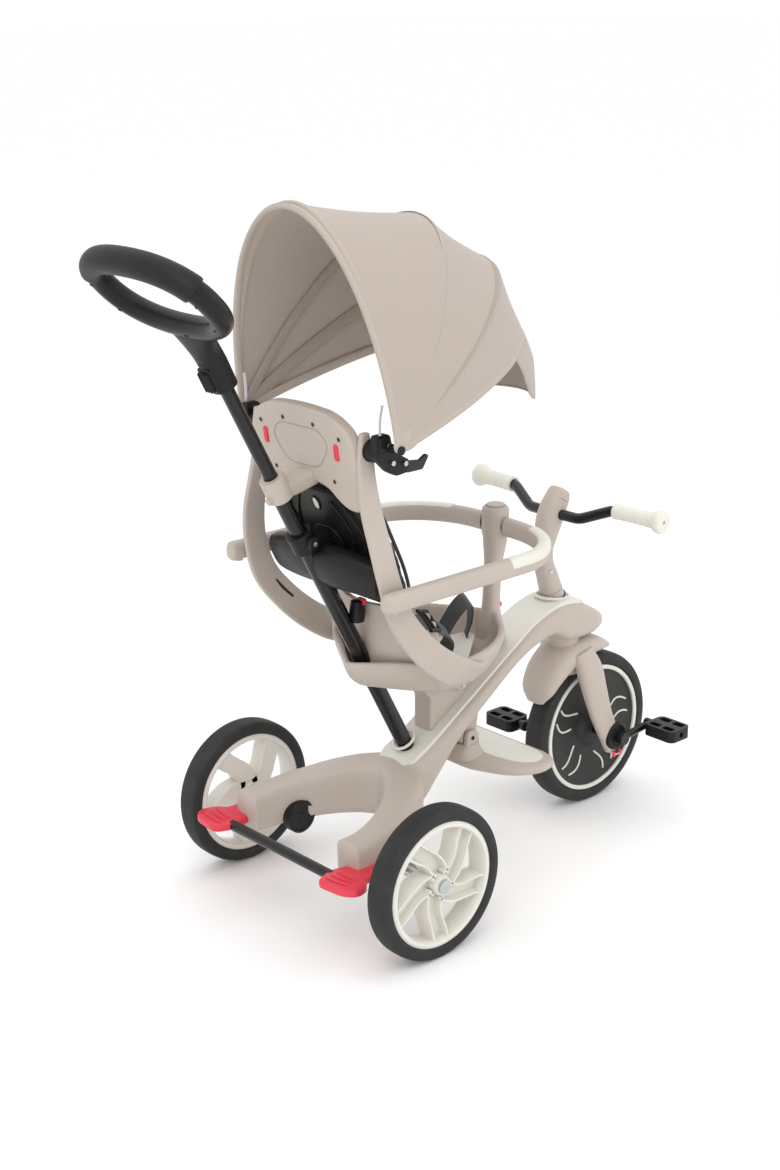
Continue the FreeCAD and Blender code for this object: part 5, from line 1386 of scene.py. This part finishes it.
# %% Footrest
tray = rounded([(218, -30), (242, -84), (276, -108), (312, -102), (322, -80), (322, 80), (312, 102), (276, 108),
                (242, 84), (218, 30)], 18)
board = [fit(slab("tray", tray, 17, (np.array([0, 0, 137.0]), X, Y, Z), 4.2), BEIGE, None)]
pad = rounded([(252, -36), (262, -78), (284, -94), (304, -88), (311, -72), (311, 72), (304, 88), (284, 94),
               (262, 78), (252, 36)], 14)
board.append(fit(slab("pad", pad, 4, (np.array([0, 0, 145.0]), X, Y, Z), 7), CREAM, None))
for y in (1, -1):
    board.append(fit(slab("ear", rounded([(222, 140), (252, 140), (246, 180), (226, 182)], 7), 8,
                          (np.array([0, y * 15.0, 0]), X, Z, -Y), 6), BEIGE, None))
    board.append(fit(pipe("ear_pin", [(235, y * 18.6, 171), (235, y * 19.8, 171)], 2.8, Z, 4, 20, 0.3),
                     BUTTON_SHADOW, None))
skirt = [(236, 0, 142, 30, 24), (236, 0, 152, 25, 20), (236, 0, 160, 21, 15)]
board.append(fit(limb("boss", skirt, X, 2.6, 30, 44, (0, 2)), BEIGE, None))
fit(join("footrest_moulding", board), BEIGE, "footrest", "footrest_board")
lug = rounded([(222, 161), (249, 161), (262, 240), (214, 214)], [7, 7, 3, 3])
fit(slab("footrest_lug_moulding", lug, 20.5, (np.zeros(3), X, Z, -Y), 9), BEIGE, "frame", "footrest_lug")
print("brake and footrest")

# %% [markdown]
# ## Harness
# Flat woven straps run from the rail through a ladder slider to the seat, and over the lap.

# %% Straps and slider
side_strap = with_size([(45, -108, 407), (75, -95, 397), (112, -78, 377), (150, -60, 350), (166, -34, 320),
                        (172, -8, 303)], 12, 1.1)
lap_strap = with_size([(148, -52, 359), (176, -46, 378), (202, -36, 382), (226, -20, 368), (240, -6, 338),
                       (241, 2, 312)], 11, 1.1)
straps = [fit(limb("strap", side_strap, unit([0.5, -0.6, 0.7]), 5, 70, 20, (1, 1)), WEBBING, None),
          fit(limb("strap", lap_strap, unit([0.5, -0.6, 0.7]), 5, 70, 20, (1, 1)), WEBBING, None)]
fit(join("harness_webbing", straps), WEBBING, "frame", "harness_straps")
along = unit([75 - 45, 13, -10])
across = unit(np.cross(along, unit([0.5, -0.6, 0.7])))
middle = np.array([84.0, -91, 396])
bars = []
for k in (-13, 0, 13):
    bars.append(fit(pipe("bar", [middle + along * k - across * 15, middle + along * k + across * 15], 2.6, Z, 10, 16,
                         1), BLACK, None))
for k in (-15, 15):
    bars.append(fit(pipe("bar", [middle - along * 15 + across * k, middle + along * 15 + across * k], 2.6, Z, 10, 16,
                         1), BLACK, None))
fit(join("harness_slider", bars), BLACK, "frame", "harness_buckle")
print("harness")

# %% [markdown]
# ## Floor, light and camera
# A pale floor that runs out of sight, a white sky and three broad lamps give soft shadows.

# %% Stage
def stage():
    """A white floor and a white world, so the object stands alone."""
    floor = bpy.data.meshes.new("floor")
    floor.from_pydata([(-30, -30, 0), (30, -30, 0), (30, 30, 0), (-30, 30, 0)], [], [(0, 1, 2, 3)])
    plane = bpy.data.objects.new("floor", floor)
    bpy.context.scene.collection.objects.link(plane)
    material, tree, shader = surface("studio_paper_white", "#FBFBFB", 0.9)
    plane.data.materials.append(material)
    world = bpy.data.worlds.new("studio")
    world.use_nodes = True
    world.node_tree.nodes["Background"].inputs["Color"].default_value = (1, 1, 1, 1)
    world.node_tree.nodes["Background"].inputs["Strength"].default_value = 1.03
    bpy.context.scene.world = world
    bpy.context.scene.view_settings.view_transform = "Standard"


def lamp(name, place, target, size, power):
    """A square area lamp at a place in metres, turned to face its target."""
    light = bpy.data.lights.new(name, "AREA")
    light.size = size
    light.energy = power
    item = bpy.data.objects.new(name, light)
    bpy.context.scene.collection.objects.link(item)
    back = unit(np.subtract(place, target))
    right = unit(np.cross([0, 0, 1.0], back))
    turn = np.eye(4)
    turn[:3, 0] = right
    turn[:3, 1] = np.cross(back, right)
    turn[:3, 2] = back
    turn[:3, 3] = place
    item.matrix_world = Matrix(turn.tolist())


stage()
lamp("key", (-1.6, -1.4, 2.6), (0, 0, 0.4), 1.6, 17)
lamp("fill", (1.4, -2.2, 1.6), (0.1, 0, 0.4), 2.0, 8)
lamp("top", (0.2, 0.5, 2.8), (0, 0, 0.3), 2.4, 10)


# %% Camera
def camera(azimuth, elevation, roll, place, lens):
    """Right is (cos a, sin a, 0), back is (sin a cos e, -cos a cos e, sin e), and both right and
    up are then turned by roll about back."""
    a, e, r = np.radians([azimuth, elevation, roll])
    right = np.array([np.cos(a), np.sin(a), 0])
    back = np.array([np.sin(a) * np.cos(e), -np.cos(a) * np.cos(e), np.sin(e)])
    up = np.cross(back, right)
    turn = np.eye(4)
    turn[:3, 0] = np.cos(r) * right + np.sin(r) * up
    turn[:3, 1] = -np.sin(r) * right + np.cos(r) * up
    turn[:3, 2] = back
    turn[:3, 3] = metres(place)
    data = bpy.data.cameras.new("camera")
    data.lens = lens
    data.sensor_width = 36
    data.clip_end = 60
    item = bpy.data.objects.new("camera", data)
    bpy.context.scene.collection.objects.link(item)
    item.matrix_world = Matrix(turn.tolist())
    bpy.context.scene.camera = item


camera(-42.21, 18.36, -0.48, (-1451.8, -1713.0, 1184.5), 58.28)
